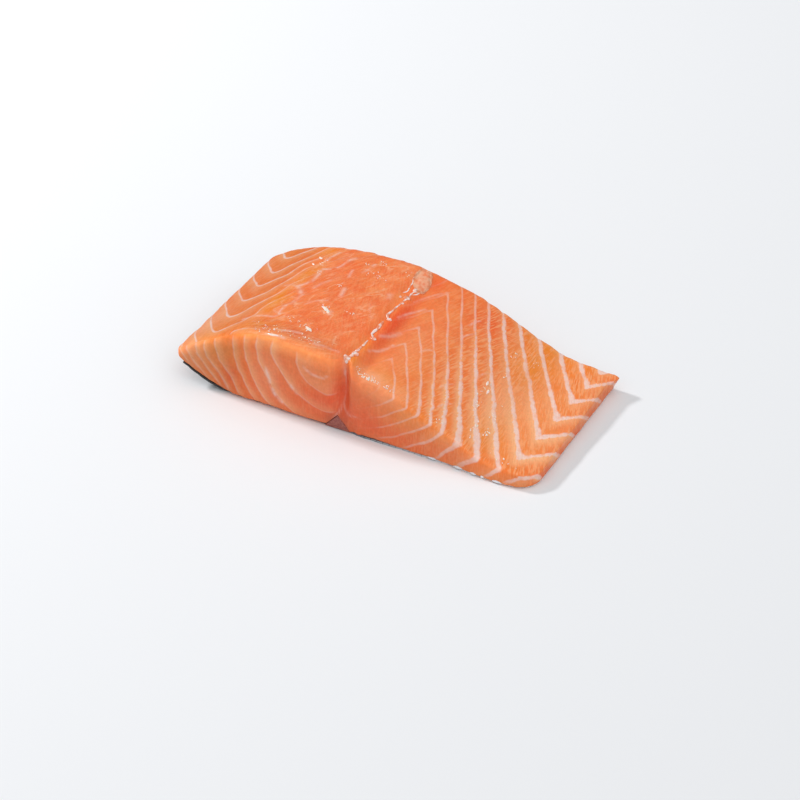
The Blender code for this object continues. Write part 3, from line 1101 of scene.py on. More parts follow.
@dataclass(frozen=True)
class DarkMuscle:
    """Red-brown muscle under the seam: a strip of soft, matt, iron-rich meat."""

    form: FilletForm
    overlap: float = 0.15
    inset: float = 0.25
    counts: tuple[int, int, int] = (24, 110, 10)
    # Bare meat, cut: brown and nearly matt, lighter along short strands.
    finish: Tissue = Tissue(
        "raw_dark_muscle", ("#8A4038", "#B06A5A"), 0.9, 4.0, (0.38, 0.7), stretch=(1.0, 0.3, 1.6),
        relief=(0.5, 0.25), roughness=0.42, below=(0.1, 1.0), film=(0.25, 0.2),
    )

    def build(self, placement: Placement) -> bpy.types.Object:
        """Make the strip, which fills its hollow in the flesh from cut face to cut face.

        Args:
            placement: Where the fillet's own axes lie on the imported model.

        Returns:
            The piece.
        """
        mesh = lattice(self.counts)
        unit = read_rows(mesh.vertices, "co")
        x = self.form.wedge_x + 2 * (self.form.wedge_half + self.overlap) * unit[:, 0]
        y = (self.form.width - 2 * self.inset) * unit[:, 1]
        low = self.form.underside(x) + self.form.skin(x) - self.overlap
        z = mix(low, self.form.bottom(x) + self.overlap, unit[:, 2] + 0.5)
        write_points(mesh, np.stack([*self.form.outline(x, y, z), z], 1))
        finish = self.finish.material()
        return placement.show(mesh, "dark_muscle_strip", "dark_muscle", finish, "dark_muscle")


@dataclass(frozen=True)
class Surface:
    """The finished flesh, which the small pieces lie on."""

    tree: BVHTree
    ceiling: float = 60.0

    def level(self, x: float, y: float) -> float:
        """Give the height of the flesh at a place.

        Args:
            x: The place along the length.
            y: The place along the width.

        Returns:
            The height in millimetres.
        """
        above = Vector((x, y, self.ceiling))
        spot = self.tree.ray_cast(above, Vector((0, 0, -1)))[0] or self.tree.find_nearest(above)[0]
        return spot.z


@dataclass(frozen=True)
class Flesh:
    """The orange flesh: one block of muscle with all its sheets, fibres and tints."""

    form: FilletForm
    counts: tuple[int, int, int] = (252, 118, 34)
    finish: RawFlesh = RawFlesh()
    # Heights of the relief: grooves at the sheets, wide swells, tears, folds by the notch, the
    # ragged rims, tissue under the surface and loose fibres.
    groove: float = 0.12
    swell: float = 0.22
    tear: float = 0.2
    fold: float = 0.5
    ragged: float = 0.2
    veil: float = 0.15
    loose: float = 0.28
    # How much thinner the flap's sheets are on a cut face, and how faint the fibres.
    thinning: float = 0.35
    cut_strokes: float = 0.4

    def build(self) -> tuple[Placement, Surface]:
        """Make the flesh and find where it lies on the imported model.

        Returns:
            The placement that the other pieces share, and the surface they lie on.
        """
        mesh = lattice(self.counts)
        unit = read_rows(mesh.vertices, "co")
        on_cut = np.abs(unit[:, 1]) > 0.4999
        x, y = self.form.length * unit[:, 0], self.form.width * unit[:, 1]
        points = self.form.place(x, y, unit[:, 2] + 0.5)
        placement = Placement.onto("flesh", points)
        write_points(mesh, points)
        normals = read_rows(mesh.vertex_normals, "vector")
        flap, back = FlapSheets(self.form), BackSheets(self.form, on_cut)
        veil = [s.share(face, self.form, points) for face, streaks in STREAKS.items() for s in streaks]
        veil = np.max(veil, axis=0)
        self.store_sheets(mesh, points, normals, flap, back, veil)
        self.store_shades(mesh, points, normals, flap, on_cut)
        height = self.relief(points, flap, back) + self.veil * veil
        points = points + normals * height[:, None]
        surface = Surface(BVHTree.FromPolygons(points.tolist(), [tuple(p.vertices) for p in mesh.polygons]))
        write_points(mesh, points)
        placement.show(mesh, "salmon_flesh", "flesh", self.finish.material(), "flesh")
        return placement, surface

    def cut(self, points: Array, on_cut: Array) -> Array:
        """Give how far each point belongs to a cut face, from 0 at the rim to 1 below it."""
        x, y, z = points.T
        return on_cut * ease((self.form.top(x, y) - z) / 3.0)

    def store_sheets(
        self, mesh: bpy.types.Mesh, points: Array, normals: Array, flap: FlapSheets, back: BackSheets,
        veil: Array,
    ) -> None:
        """Store what the material reads of the white sheets, which wander a little.

        Args:
            mesh: The flesh.
            points: Its points.
            normals: The direction that each point faces.
            flap: The flap's sheets.
            back: The back muscle's sheets.
            veil: How much of the streaks' tissue each point shows.
        """
        x, y, _ = points.T
        flat = 0 * x
        sway = [wander(points, size, seed) for size, seed in ((9.0, 1), (9.0, 2), (6.0, 13))]
        sway = 0.5 * np.stack(sway, 1)
        bent = points + sway + 0.34 * np.stack([wander(points, 3.6, 6), flat, flat], 1)
        thinned = 1 - self.thinning * self.cut(points, back.on_cut)
        spacing = sheet_spacing(flap.phase, points, normals)
        keep_vectors(mesh, "flap_sheets", flap.phase(bent), spacing, flap.width(points) * thinned)
        eased = points + np.where(back.on_cut[:, None], 1.5 * (bent - points), 0.8 * sway)
        eased[:, 1] += np.where(back.on_cut, 0.0, ease((x + 62) / 8.0) * wander(points, 13.0, 16))
        spacing = sheet_spacing(back.phase, points, normals)
        keep_vectors(mesh, "back_sheets", back.phase(eased), spacing, back.width(points))
        back_strength = back.strength(points) * ease((self.form.seam_x(y) - x) / 2.0)
        keep_vectors(mesh, "strengths", flap.strength(points) * thinned, back_strength, veil)

    def store_shades(
        self, mesh: bpy.types.Mesh, points: Array, normals: Array, flap: FlapSheets, on_cut: Array
    ) -> None:
        """Store what the material reads of fibres, tints, tears, moisture, and painted light and shade.

        Args:
            mesh: The flesh.
            points: Its points.
            normals: The direction that each point faces.
            flap: The flap's sheets.
            on_cut: Which points belong to a cut face.
        """
        x, y, z = points.T
        on_edge = on_cut | (normals[:, 0] > 0.7)
        faint = np.where(on_edge, self.cut_strokes, 1.0)
        keep_vectors(mesh, "strokes", *(s.shown(x) * faint for s in STROKES))
        above = z - self.form.underside(x)
        brown = 0.75 * bell((x - self.form.wedge_x) / 5.0) * bell((above - 3.0) / 4.2)
        inward = y + self.form.width / 2
        fringe = self.fringe(points, on_cut)
        # Painted shade: the tip's upper face and the torn fringe along the front rim are darkened.
        tip = 0.21 * ease((-38 - x) / 14.0) * mix(0.65, 1.0, ease(inward / 9.0)) + 0.1 * fringe
        # Painted light: glow brightens the front cut face below the rim and the upper face along the front
        # edge, least at the notch.
        glow = mix(0.05, 0.26, ease((-1 - x) / 8.0)) * ease((4 - y) / 8.0)
        glow = glow * (1 - 0.8 * bell((x + 3.8) / 4.0)) * (0.9 + 0.6 * wander(points, 2.2, 21))
        below_rim = self.form.top(x, y) - z
        # Painted shade on the cut faces: darker below the rim, a little more near the notch, more towards
        # the belly end and on the end face; painted light from glow at the rim.
        painted_cut_light_and_shade = mix(-1.2 * glow, 0.085 + 0.03 * bell((x + 2) / 14.0), ease(below_rim / 7.0))
        painted_cut_light_and_shade = painted_cut_light_and_shade + 0.1 * ease((x - 60) / 8.0)
        # dark is painted shade, and painted light where it falls below zero.
        dark = tip + np.where(on_edge, painted_cut_light_and_shade, -glow * bell(inward / 1.4))
        keep_vectors(mesh, "surface", self.torn(points, on_cut), brown, dark)
        cut = self.cut(points, on_cut)
        # Past the seam, the flap's own halo. Elsewhere 0.4, raised on the back muscle's cut faces as painted
        # light and shade: each block lighter towards one sheet and darker past it.
        halo = np.where(x > self.form.seam_x(y), flap.halo(points), 0.4 + 0.95 * cut)
        keep_vectors(mesh, "film", self.wet(points, on_cut), fringe, halo)
        tints = [sum(patch.share(points) for patch in PATCHES[tint]) for tint in Tint]
        tints[Tint.PALE.value] += 0.12 * cut
        keep_vectors(mesh, "zones", *(np.clip(tint, 0, 1) for tint in tints))

    def torn(self, points: Array, on_cut: Array) -> Array:
        """Give how torn the surface is: most in the middle of the back muscle's upper face.

        Args:
            points: Places on the flesh.
            on_cut: Which of them belong to a cut face.

        Returns:
            A share for each point.
        """
        x, y, _ = points.T
        middle = ease((x + 47) / 9.0) * ease((-4.5 - x) / 3.0) * ease((y + 32) / 4.0)
        return np.where(on_cut, 0.12, middle)

    def fringe(self, points: Array, on_cut: Array) -> Array:
        """Give where fibres lie torn loose beside each other: along the back muscle's front rim.

        Args:
            points: Places on the flesh.
            on_cut: Which of them belong to a cut face.

        Returns:
            A share for each point.
        """
        x, y, _ = points.T
        along = ease((x + 48) / 6.0) * ease((-6 - x) / 7.0)
        return np.where(on_cut, 0.0, bell((y + 28) / 4.2) * along)

    def wet(self, points: Array, on_cut: Array) -> Array:
        """Give how thick the film of moisture is: thin on the cut faces and the rim near the tip.

        Args:
            points: Places on the flesh.
            on_cut: Which of them belong to a cut face.

        Returns:
            A share for each point.
        """
        x, y, _ = points.T
        pooled = bell((x - 6) / 6.0) * bell((y + 27) / 5.0) + bell((x - 44) / 7.0) * bell((y + 8) / 18.0)
        film = 0.1 + 0.45 * self.torn(points, on_cut) + 0.4 * pooled
        tip_rim = ease((-38 - x) / 5.0) * ease((-26 - y) / 4.0)
        return film * (1 - tip_rim) * (1 - 0.7 * ease((-39 - x) / 6.0))

    def combed(self, points: Array, angle: float, stretch: float, size: float, seed: int) -> Array:
        """Read noise that is drawn out along one direction.

        Args:
            points: Places on the flesh.
            angle: The direction, in degrees from the fillet's length.
            stretch: How much longer than wide its swells are.
            size: How wide they are.
            seed: Moves to another part of the noise.

        Returns:
            A value from about -1 to 1 for each point.
        """
        across, along = turned(points[:, 1], points[:, 0], math.radians(angle))
        return wander(np.stack([along / stretch, across, 0 * across], 1), size, seed)

    def relief(self, points: Array, flap: FlapSheets, back: BackSheets) -> Array:
        """Work out the low relief of blocks, sheets and torn fibres.

        Args:
            points: Points on the smooth form.
            flap: The flap's sheets.
            back: The back muscle's sheets.

        Returns:
            How far each point moves outwards.
        """
        x, y, z = points.T
        height = self.swell * (wander(points, 13.0, 3) + 0.4 * wander(points, 4.5, 4))
        edge = bell((self.form.width / 2 - np.abs(y)) / 1.8) + bell((x + self.form.length / 2) / 2.0)
        edge = np.clip(edge, 0, 1)
        groove = self.groove * (1 + 2.2 * edge)
        for sheets, depth in ((flap, 1.0), (back, 1.0 + back.on_cut)):
            blocks = np.abs(np.sin(np.pi * sheets.phase(points))) ** 0.7
            height = height + groove * sheets.strength(points) * depth * (blocks - 0.6)
        folds = wander(np.stack([x, 0 * x, z / 3.5], 1), 2.4, 17)
        height = height + self.fold * back.on_cut * bell((x - 3) / 6.0) * (y < 0) * folds
        height = height + self.ragged * edge * wander(points, 2.4, 14)
        strands = self.combed(points, self.finish.streak_angle, 3.0, 1.6, 5)
        waves = self.combed(points, self.finish.streak_angle, 1.8, 4.0, 8)
        height = height + self.tear * (strands + 0.8 * waves) * self.torn(points, back.on_cut)
        loose = self.combed(points, self.finish.fringe_angle, 6.0, 1.2, 15)
        return height + self.loose * loose * self.fringe(points, back.on_cut)


@dataclass(frozen=True)
class Skin:
    """The scaled skin under the flesh, dark on the back and silver towards the belly."""

    form: FilletForm
    tip_short: float = 3.2
    end_short: float = 0.7
    inset: Curve = Curve(
        ((-66, 0.0), (-55, 0.1), (-49, 1.3), (-2, 1.1), (4, 0.0), (30, 0.3), (60, 0.6), (73, 0.8))
    )
    ragged: float = 0.4
    overlap: float = 0.05
    counts: tuple[int, int, int] = (230, 108, 3)
    scale_width: float = 2.6
    scale_step: float = 0.12
    shade_from: float = -60.0
    shade_to: float = 70.0
    shade_drift: float = 16.0
    cloud: float = 6.0
    dark: str = "#15171A"
    blue_grey: str = "#6E7780"
    silver: str = "#C3CBD0"
    belly: str = "#E6E6E2"

    def build(self, placement: Placement) -> bpy.types.Object:
        """Make the skin, whose upper face meets the flesh and whose scales overlap below.

        Args:
            placement: Where the fillet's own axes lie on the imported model.

        Returns:
            The piece.
        """
        mesh = lattice(self.counts)
        unit = read_rows(mesh.vertices, "co")
        half = self.form.length / 2
        x = mix(-half + self.tip_short, half - self.end_short, unit[:, 0] + 0.5)
        inset = self.inset(x) + self.ragged * wander(np.stack([x, 0 * x, 0 * x], 1), 3.0, 9)
        y = (self.form.width - 2 * inset) * unit[:, 1]
        low = self.form.underside(x)
        z = mix(low, low + self.form.skin(x) + self.overlap, unit[:, 2] + 0.5)
        x, y = self.form.outline(x, y, z)
        odd_row = np.floor(x / self.scale_width) % 2
        local = (y / self.scale_width + 0.5 * odd_row) % 1.0
        lifted = (unit[:, 2] < -0.499) * ease(z - 0.3)
        write_points(mesh, np.stack([x, y, z + self.scale_step * local * lifted], 1))
        return placement.show(mesh, "salmon_skin", "skin", self.material(), "skin")

    def material(self) -> bpy.types.Material:
        """Build the node material: scales under a wet film, dark to silver along the flank.

        Returns:
            The material.
        """
        material = bpy.data.materials.new("wet_salmon_skin")
        nodes = Nodes(material)
        place = nodes.add("TexCoord", output="Object")
        length = nodes.add("SeparateXYZ", (place,))
        drift = {"Vector": place, "Scale": 1.0 / (self.cloud * MM), "Detail": 3.0}
        drift = nodes.add("TexNoise", drift)
        flank = nodes.add("Math", (drift, self.shade_drift * MM, length), operation="MULTIPLY_ADD")
        share = nodes.add("MapRange", (flank, self.shade_from * MM, self.shade_to * MM))
        shades = nodes.add("ValToRGB", (share,))
        ramp = shades.node.color_ramp
        stops = ((0.35, self.dark), (0.52, self.blue_grey), (0.74, self.silver), (1.0, self.belly))
        while len(ramp.elements) < len(stops):
            ramp.elements.new(0.5)
        for stop, (spot, tone) in zip(ramp.elements, stops):
            stop.position = spot
            stop.color = linear(tone)
        scales = {"Vector": place, "Scale": 1.0 / (self.scale_width * MM), "Randomness": 0.3}
        cells = nodes.add("TexVoronoi", scales, feature="DISTANCE_TO_EDGE")
        rim = nodes.add("MapRange", (cells, 0.0, 0.12))
        tone = nodes.add("MapRange", (rim, 0.0, 1.0, 0.55, 1.0))
        bump = nodes.add("Bump", {"Height": rim, "Strength": 0.6, "Distance": 0.2 * MM})
        surface = nodes.add(
            "BsdfPrincipled",
            {
                "Base Color": nodes.add("VectorMath", {0: shades, "Scale": tone}, operation="SCALE"),
                "Roughness": 0.32,
                "Metallic": 0.15,
                "IOR": 1.45,
                "Coat Weight": 0.4,
                "Coat Roughness": 0.14,
                "Normal": bump,
            },
        )
        nodes.add("OutputMaterial", (surface,))
        return material


@dataclass(frozen=True)
class SilverSlips:
    """Slips of the belly's bare silver lining that curl out along the foot of the front cut.

    They are thin, wet and nearly white, so they read as small bright glints.
    """

    form: FilletForm
    # The middle of each slip along the fillet, and half its length.
    slips: tuple[Pair, ...] = ((33.0, 1.4), (43.3, 1.8), (49.6, 1.1), (53.4, 0.7), (59.2, 2.2))
    level: float = 0.9
    reach: Pair = (0.45, 0.42)
    # A thin lining, wet and smooth: a silver film, greyer in its folds.
    finish: Tissue = Tissue("silver_belly_lining", ("#C9CDD4", "#F3F3F6"), 0.9)

    def build(self, placement: Placement) -> bpy.types.Object:
        """Make the slips, as lumpy balls drawn out along the foot.

        Args:
            placement: Where the fillet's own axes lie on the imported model.

        Returns:
            The piece, with every slip in it.
        """
        shape = bmesh.new()
        for middle, length in self.slips:
            for vert in bmesh.ops.create_icosphere(shape, subdivisions=3, radius=1.0)["verts"]:
                lump = 1 + 0.5 * noise.noise(vert.co * 1.3 + Vector((middle, 0, 0)))
                x = middle + vert.co.x * length * lump
                front = float(self.form.front_shift(x, self.level)) - self.form.width / 2
                y = front + self.reach[0] * vert.co.y
                vert.co = Vector((x, y, self.level + self.reach[1] * vert.co.z * lump))
        mesh = mesh_from(shape, "slips")
        return placement.show(mesh, "silver_skin_slips", "skin", self.finish.material())


@dataclass(frozen=True)
class Knot:
    """A small pad of tissue on the flesh: its place, how far it reaches, and its turn."""

    x: float
    y: float
    reach: Triple
    turn: float = 0.0

    def add_to(self, shape: bmesh.types.BMesh, surface: Surface, finish: int) -> None:
        """Add the knot to a mesh, as a lumpy flattened ball that sits in the flesh.

        Args:
            shape: The mesh that takes it.
            surface: The flesh, which it lies on.
            finish: How finely the ball is cut.
        """
        lowest = surface.level(self.x, self.y) - 3 * self.reach[2]
        for vert in bmesh.ops.create_icosphere(shape, subdivisions=finish, radius=1.0)["verts"]:
            lump = 1 + 0.28 * noise.noise(vert.co * 1.5 + Vector((self.x, self.y, 0)))
            across, along, up = (vert.co[i] * self.reach[i] * lump for i in range(3))
            step_x, step_y = turned(across, along, self.turn)
            x, y = self.x + step_x, self.y + step_y
            vert.co = Vector((x, y, max(surface.level(x, y), lowest) + up))


@dataclass(frozen=True)
class Strand:
    """A strand of connective tissue on the flesh: X, Y and radius at each station."""

    stations: tuple[Triple, ...]

    def add_to(self, shape: bmesh.types.BMesh, surface: Surface) -> None:
        """Add the strand to a mesh, as an uneven flattened rod half sunk in the flesh.

        Args:
            shape: The mesh that takes it.
            surface: The flesh, which it lies on.
        """
        rod = bmesh.new()
        bmesh.ops.create_cone(rod, cap_ends=True, segments=10, radius1=1.0, radius2=1.0, depth=1.0)
        lengthwise = [e for e in rod.edges if abs(e.verts[0].co.z - e.verts[1].co.z) > 0.5]
        bmesh.ops.subdivide_edges(rod, edges=lengthwise, cuts=16 * len(self.stations))
        spots = np.array([tuple(v.co) for v in rod.verts])
        along = (spots[:, 2] + 0.5) * (len(self.stations) - 1)
        curves = traces(self.stations)
        x, y, radius = [curve(along) for curve in curves]
        step_x, step_y = [curve(along + 0.02) - curve(along - 0.02) for curve in curves[:2]]
        run = np.maximum(np.hypot(step_x, step_y), 1e-6)
        middle = np.stack([x, y, 0 * x], 1)
        radius = radius * (1 + 0.45 * wander(middle, 1.5, 11))
        sway = 0.25 * wander(middle, 2.2, 12) + spots[:, 0] * radius
        x, y = x - sway * step_y / run, y + sway * step_x / run
        lift = (0.1 + 0.45 * spots[:, 1]) * radius
        for vert, centre, across, along, up in zip(rod.verts, middle, x, y, lift):
            level = max(surface.level(across, along), surface.level(*centre[:2]) - 0.6)
            vert.co = Vector((across, along, level + up))
        mesh = mesh_from(rod, "rod")
        shape.from_mesh(mesh)
        bpy.data.meshes.remove(mesh)


@dataclass(frozen=True)
class PinBoneTissue:
    """The whitish strand along the seam, where the pin bones sat, with its knots and its pad.

    It is wet collagen: translucent, pinkish white, with the sharpest glints of the fillet.
    """

    surface: Surface
    strands: tuple[Strand, ...] = (
        Strand(
            (
                (-4.0, -28.3, 0.35), (-3.6, -27.2, 0.6), (-3.0, -26.0, 0.75), (-2.8, -22, 0.5),
                (-2.3, -18.5, 0.4), (-2.5, -16, 0.15),
            )
        ),
        Strand(
            (
                (-0.8, -14.4, 0.25), (-1.8, -13.4, 0.4), (-2.7, -12.0, 0.5), (-2.5, -9, 0.5),
                (-2.6, -5.6, 0.5), (-2.7, -3.8, 0.1),
            )
        ),
        Strand(
            (
                (-1.0, -1.9, 0.25), (-2.2, -1.2, 0.35), (-3.0, 0.2, 0.45), (-2.7, 3.0, 0.4),
                (-2.5, 6.5, 0.3), (-2.2, 9.5, 0.3), (-1.6, 12.6, 0.4), (-1.4, 15.5, 0.35),
                (-1.2, 18.5, 0.35),
            )
        ),
        Strand(
            ((-4.5, 15.0, 0.2), (-3.6, 17.2, 0.3), (-4.0, 20.4, 0.25), (-5.0, 25.0, 0.3), (-5.2, 27.0, 0.15))
        ),
        Strand(((-0.8, 15.6, 0.15), (0.1, 17, 0.25), (1.0, 19.5, 0.25), (1.6, 23.5, 0.15))),
    )
    knots: tuple[Knot, ...] = (
        Knot(-4.1, -28.4, (1.2, 1.2, 0.42), 0.2), Knot(-2.5, -25.2, (1.3, 1.1, 0.5), -0.2),
        Knot(-1.0, -14.3, (1.1, 0.8, 0.45), 0.3), Knot(-1.2, -1.9, (1.0, 0.8, 0.45), 0.1),
        Knot(-1.5, 13.0, (0.9, 0.9, 0.4), -0.2), Knot(-1.2, 18.5, (0.9, 1.1, 0.45), 0.2),
        Knot(-2.0, 13.2, (1.1, 0.9, 0.35), 0.4), Knot(-1.8, 9.4, (0.6, 0.7, 0.35), 0.0),
        Knot(-4.1, 12.3, (0.5, 0.6, 0.35), 0.0),
    )
    pad: Knot = Knot(-1.8, 25.3, (3.2, 7.2, 0.45), 0.33)
    rim_radius: float = 0.36
    rim_swell: float = 0.12
    white: str = "#FCE2DA"
    pink: str = "#F4AC88"
    orange: str = "#EE8252"

    def rim(self) -> Strand:
        """Give the soft rim that runs round the pad.

        Returns:
            The rim, as one closed strand.
        """
        across, along = (0.96 * reach for reach in self.pad.reach[:2])
        stations = []
        for angle in np.linspace(0, 2 * np.pi, 13):
            step_x, step_y = turned(across * math.cos(angle), along * math.sin(angle), self.pad.turn)
            radius = self.rim_radius + self.rim_swell * math.sin(3 * angle)
            stations.append((self.pad.x + step_x, self.pad.y + step_y, radius))
        return Strand(tuple(stations))

    def build(self, placement: Placement) -> None:
        """Make the strands with their knots, and the translucent pad behind them.

        Args:
            placement: Where the fillet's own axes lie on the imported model.
        """
        tissue = bmesh.new()
        for strand in self.strands:
            strand.add_to(tissue, self.surface)
        for knot in self.knots:
            knot.add_to(tissue, self.surface, 3)
        pad = bmesh.new()
        self.pad.add_to(pad, self.surface, 5)
        self.rim().add_to(pad, self.surface)
        for shape, name, tone in ((tissue, "pin_bone_strand", self.white), (pad, "tendon_pad", self.pink)):
            bmesh.ops.recalc_face_normals(shape, faces=shape.faces)
            # Wet collagen over orange flesh: translucent, and whiter where it is thick.
            finish = Tissue(
                name + "_collagen", (self.orange, tone), 1.6, 3.0, (0.36, 0.6), relief=(0.4, 0.25),
                roughness=0.28, refraction=1.42, below=(0.3, 1.2), reach=(1.0, 0.6, 0.45), film=(0.5, 0.1),
            )
            placement.show(mesh_from(shape, name), name, "flesh", finish.material())


@dataclass(frozen=True)
class PaintedGlintCluster:
    """A place where pale slivers lie on the flesh as painted glints, with how far they spread and their
    size.
    """

    x: float
    y: float
    spread_x: float
    spread_y: float
    count: int
    size: float


@dataclass(frozen=True)
class ShredsAndPaintedGlints:
    """Loose shreds of fat and fibre that the knife left, pale and wet, and pale slivers laid as painted
    glints.
    """

    surface: Surface
    lumps: tuple[Knot, ...] = (
        Knot(-23.2, -9.4, (2.1, 0.65, 0.18), -0.4), Knot(-21.6, -10.6, (0.9, 0.5, 0.2), -0.9),
        Knot(-22.8, -22.7, (1.6, 0.6, 0.18), -0.45), Knot(-43.0, 22.8, (1.4, 0.45, 0.25), -0.7),
        Knot(-43.4, 17.7, (0.9, 0.4, 0.2), -0.7), Knot(-32.0, -32.0, (2.2, 0.35, 0.2), 0.0),
        Knot(38.2, -1.5, (0.4, 1.2, 0.3), 0.1), Knot(40.0, -4.5, (0.4, 1.0, 0.3), 0.1),
    )
    # Where the pale slivers lie: painted glints on the wet flesh.
    painted_glint_clusters: tuple[PaintedGlintCluster, ...] = (
        PaintedGlintCluster(-13.5, -6.4, 1.8, 0.8, 9, 0.2), PaintedGlintCluster(-25.7, 6.0, 0.9, 1.2, 9, 0.22),
        PaintedGlintCluster(-17.0, 19.0, 1.8, 1.6, 14, 0.2), PaintedGlintCluster(-19.2, 27.2, 1.0, 0.6, 7, 0.2),
        PaintedGlintCluster(-23.6, 24.0, 0.6, 0.8, 5, 0.2), PaintedGlintCluster(-7.8, 23.0, 0.8, 2.0, 8, 0.18),
        PaintedGlintCluster(-37.3, 12.2, 0.8, 1.0, 6, 0.2), PaintedGlintCluster(-39.6, 20.5, 0.8, 2.6, 9, 0.24),
        PaintedGlintCluster(-22.5, -10.0, 1.4, 1.4, 8, 0.22), PaintedGlintCluster(-22.8, -23.4, 1.6, 1.0, 8, 0.22),
        PaintedGlintCluster(-27.4, -20.9, 3.6, 1.2, 18, 0.18), PaintedGlintCluster(-33.0, -29.0, 4.6, 1.6, 34, 0.2),
        PaintedGlintCluster(-20.0, -28.6, 5.0, 1.6, 28, 0.2), PaintedGlintCluster(1.5, -30.4, 0.8, 1.0, 8, 0.18),
        PaintedGlintCluster(3.4, -30.6, 1.2, 1.2, 22, 0.2), PaintedGlintCluster(7.0, -31.0, 1.9, 0.8, 30, 0.22),
        PaintedGlintCluster(13.2, -31.2, 1.3, 0.8, 18, 0.2), PaintedGlintCluster(39.7, 18.3, 0.5, 1.4, 5, 0.22),
        PaintedGlintCluster(41.1, 7.3, 0.5, 1.6, 7, 0.22), PaintedGlintCluster(47.2, 22.0, 0.6, 1.4, 5, 0.2),
        PaintedGlintCluster(61.8, 16.7, 0.6, 1.0, 4, 0.2), PaintedGlintCluster(46.6, -11.5, 0.8, 2.0, 8, 0.24),
        PaintedGlintCluster(43.7, -22.1, 0.7, 2.6, 12, 0.26), PaintedGlintCluster(48.1, -21.3, 0.6, 1.2, 8, 0.28),
        PaintedGlintCluster(39.0, -5.0, 0.8, 4.0, 14, 0.22), PaintedGlintCluster(40.0, -12.7, 0.5, 1.6, 8, 0.22),
        PaintedGlintCluster(33.6, -30.6, 0.9, 1.0, 7, 0.22), PaintedGlintCluster(57.0, -31.0, 2.6, 1.0, 9, 0.24),
    )
    lie: float = 112.0
    seed: int = 7
    # Moist fat, torn: cloudy and pale, with small sharp glints; the same pale finish makes the slivers
    # painted glints.
    finish: Tissue = Tissue(
        "moist_fat_shred_and_painted_glint", ("#FAD9C6", "#FFF1E6"), 0.8, relief=(0.0, 0.0), refraction=1.42,
        below=(0.25, 0.6), film=(0.5, 0.08),
    )

    def sliver(self, shape: bmesh.types.BMesh, x: float, y: float, turn: float, size: float) -> None:
        """Lay one flat pale sliver on the flesh, a painted glint.

        Args:
            shape: The mesh that takes it.
            x: Its place along the fillet.
            y: Its place across the fillet.
            turn: The direction it lies in, in radians.
            size: Its size.
        """
        middle = self.surface.level(x, y)
        for vert in bmesh.ops.create_icosphere(shape, subdivisions=2, radius=1.0)["verts"]:
            step_x, step_y = turned(vert.co.x * size * 1.5, vert.co.y * size * 0.6, turn)
            level = self.surface.level(x + step_x, y + step_y)
            level = min(max(level, middle - size), middle + size)
            vert.co = Vector((x + step_x, y + step_y, level + 0.05 + vert.co.z * size * 0.3))

    def build(self, placement: Placement) -> bpy.types.Object:
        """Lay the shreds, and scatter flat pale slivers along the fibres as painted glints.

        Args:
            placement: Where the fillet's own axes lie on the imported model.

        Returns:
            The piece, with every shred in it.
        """
        chance = np.random.default_rng(self.seed)
        shape = bmesh.new()
        for lump in self.lumps:
            lump.add_to(shape, self.surface, 3)
        for glint_cluster in self.painted_glint_clusters:
            for _ in range(glint_cluster.count):
                x = glint_cluster.x + glint_cluster.spread_x * chance.normal()
                y = float(np.clip(glint_cluster.y + glint_cluster.spread_y * chance.normal(), -31.5, 32.0))
                turn = math.radians(self.lie) + 0.7 * chance.normal()
                self.sliver(shape, x, y, turn, glint_cluster.size * chance.uniform(0.5, 1.5))
        bmesh.ops.recalc_face_normals(shape, faces=shape.faces)
        return placement.show(mesh_from(shape, "shreds"), "flesh_shreds_and_painted_glints", "flesh", self.finish.material())


@dataclass(frozen=True)
class Stand:
    """A stand that holds a camera or a lamp so that it faces one place.

    The azimuth goes round from the front towards the belly end, in degrees; distances are metres.
    """

    azimuth: float
    elevation: float
    distance: float

    def hold(self, name: str, data: bpy.types.ID, aim: Vector) -> bpy.types.Object:
        """Put a camera or a lamp on the stand.

        Args:
            name: What it is called.
            data: The camera or the lamp.
            aim: The place that it faces.

        Returns:
            The object.
        """
        around, up = math.radians(self.azimuth), math.radians(self.elevation)
        away = Vector((math.sin(around) * math.cos(up), -math.cos(around) * math.cos(up), math.sin(up)))
        held = bpy.data.objects.new(name, data)
        held.location = aim + away * self.distance
        held.rotation_mode = "QUATERNION"
        held.rotation_quaternion = (-away).to_track_quat("-Z", "Y")
        bpy.context.scene.collection.objects.link(held)
        return held


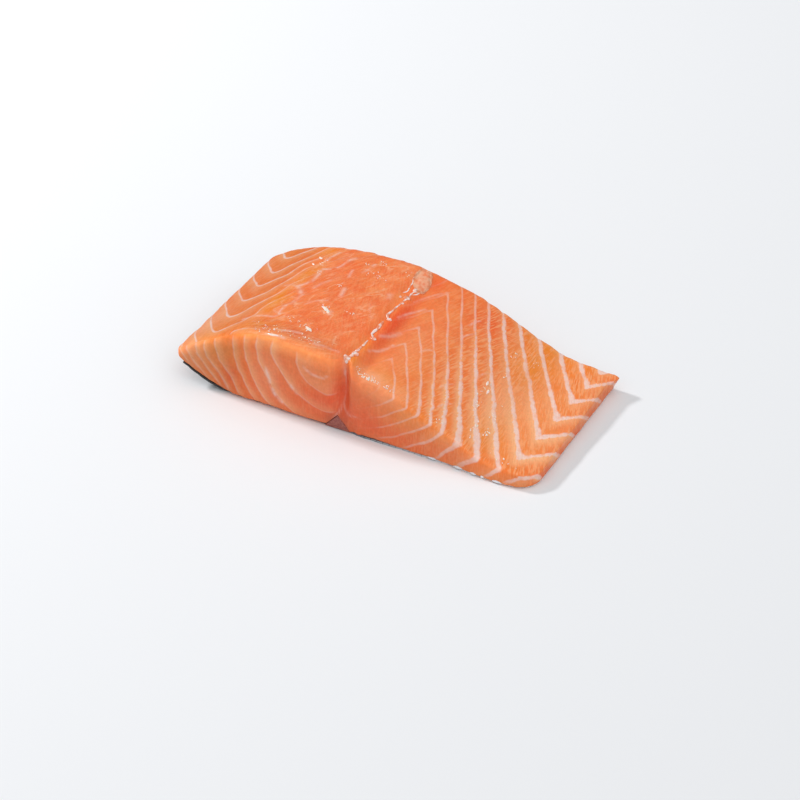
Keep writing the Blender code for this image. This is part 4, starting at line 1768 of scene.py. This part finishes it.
@dataclass(frozen=True)
class Studio:
    """A pale table, soft light from above, one harder light from behind the tip, and the camera."""

    camera: Stand = Stand(27.66, 37.0, 1.0328)
    lens: float = 128.0
    aim: Triple = (6.6, -8.53, 0.0)
    key: Stand = Stand(-94.0, 35.0, 1.4)
    key_size: float = 0.14
    key_power: float = 11.0
    floor_size: float = 8.0
    floor_colour: str = "#ECEEF1"
    horizon: float = 0.18
    glow: float = 1.2
    glow_axis: Triple = (0.48, -0.34, 0.81)

    def build(self, placement: Placement) -> None:
        """Set up the table, the lights and the camera.

        Args:
            placement: Where the fillet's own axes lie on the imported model.
        """
        scene = bpy.context.scene
        camera = bpy.data.cameras.new("camera")
        camera.lens = self.lens
        scene.camera = self.camera.hold("camera", camera, Vector(placement.to_metres(np.array(self.aim))))
        lamp = bpy.data.lights.new("key_softbox", "AREA")
        lamp.size = self.key_size
        lamp.energy = self.key_power
        self.key.hold("key_softbox", lamp, Vector())
        self.table()
        scene.world = self.sky()
        scene.view_settings.view_transform = "Standard"

    def sky(self) -> bpy.types.World:
        """Make the soft light all round, brightest high up on one side.

        Returns:
            The world.
        """
        world = bpy.data.worlds.new("studio")
        nodes = Nodes(world)
        toward = nodes.add("TexCoord", output="Generated")
        facing = nodes.add("VectorMath", (toward, self.glow_axis), 1, operation="DOT_PRODUCT")
        glow = nodes.add("MapRange", (facing, 0.0, 1.0, self.horizon, self.glow))
        light = nodes.add("Background", ("#FFFFFF", glow))
        nodes.add("OutputWorld", (light,))
        return world

    def table(self) -> None:
        """Lay the table under the fillet: white laminate, matt, so it shows only soft shadows."""
        shape = bmesh.new()
        bmesh.ops.create_grid(shape, x_segments=1, y_segments=1, size=self.floor_size / 2)
        mesh = mesh_from(shape, "table")
        material = bpy.data.materials.new("matt_white_laminate")
        nodes = Nodes(material)
        surface = nodes.add("BsdfPrincipled", {"Base Color": self.floor_colour, "Roughness": 0.7})
        nodes.add("OutputMaterial", (surface,))
        mesh.materials.append(material)
        table = bpy.data.objects.new("table", mesh)
        bpy.context.scene.collection.objects.link(table)


def main() -> None:
    """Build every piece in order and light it."""
    logging.basicConfig(level=logging.INFO, format="%(name)s %(message)s")
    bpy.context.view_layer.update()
    form = FilletForm()
    placement, surface = Flesh(form).build()
    DarkMuscle(form).build(placement)
    Skin(form).build(placement)
    SilverSlips(form).build(placement)
    PinBoneTissue(surface).build(placement)
    ShredsAndPaintedGlints(surface).build(placement)
    Studio().build(placement)
    bpy.context.view_layer.update()


if __name__ == "__main__":
    main()
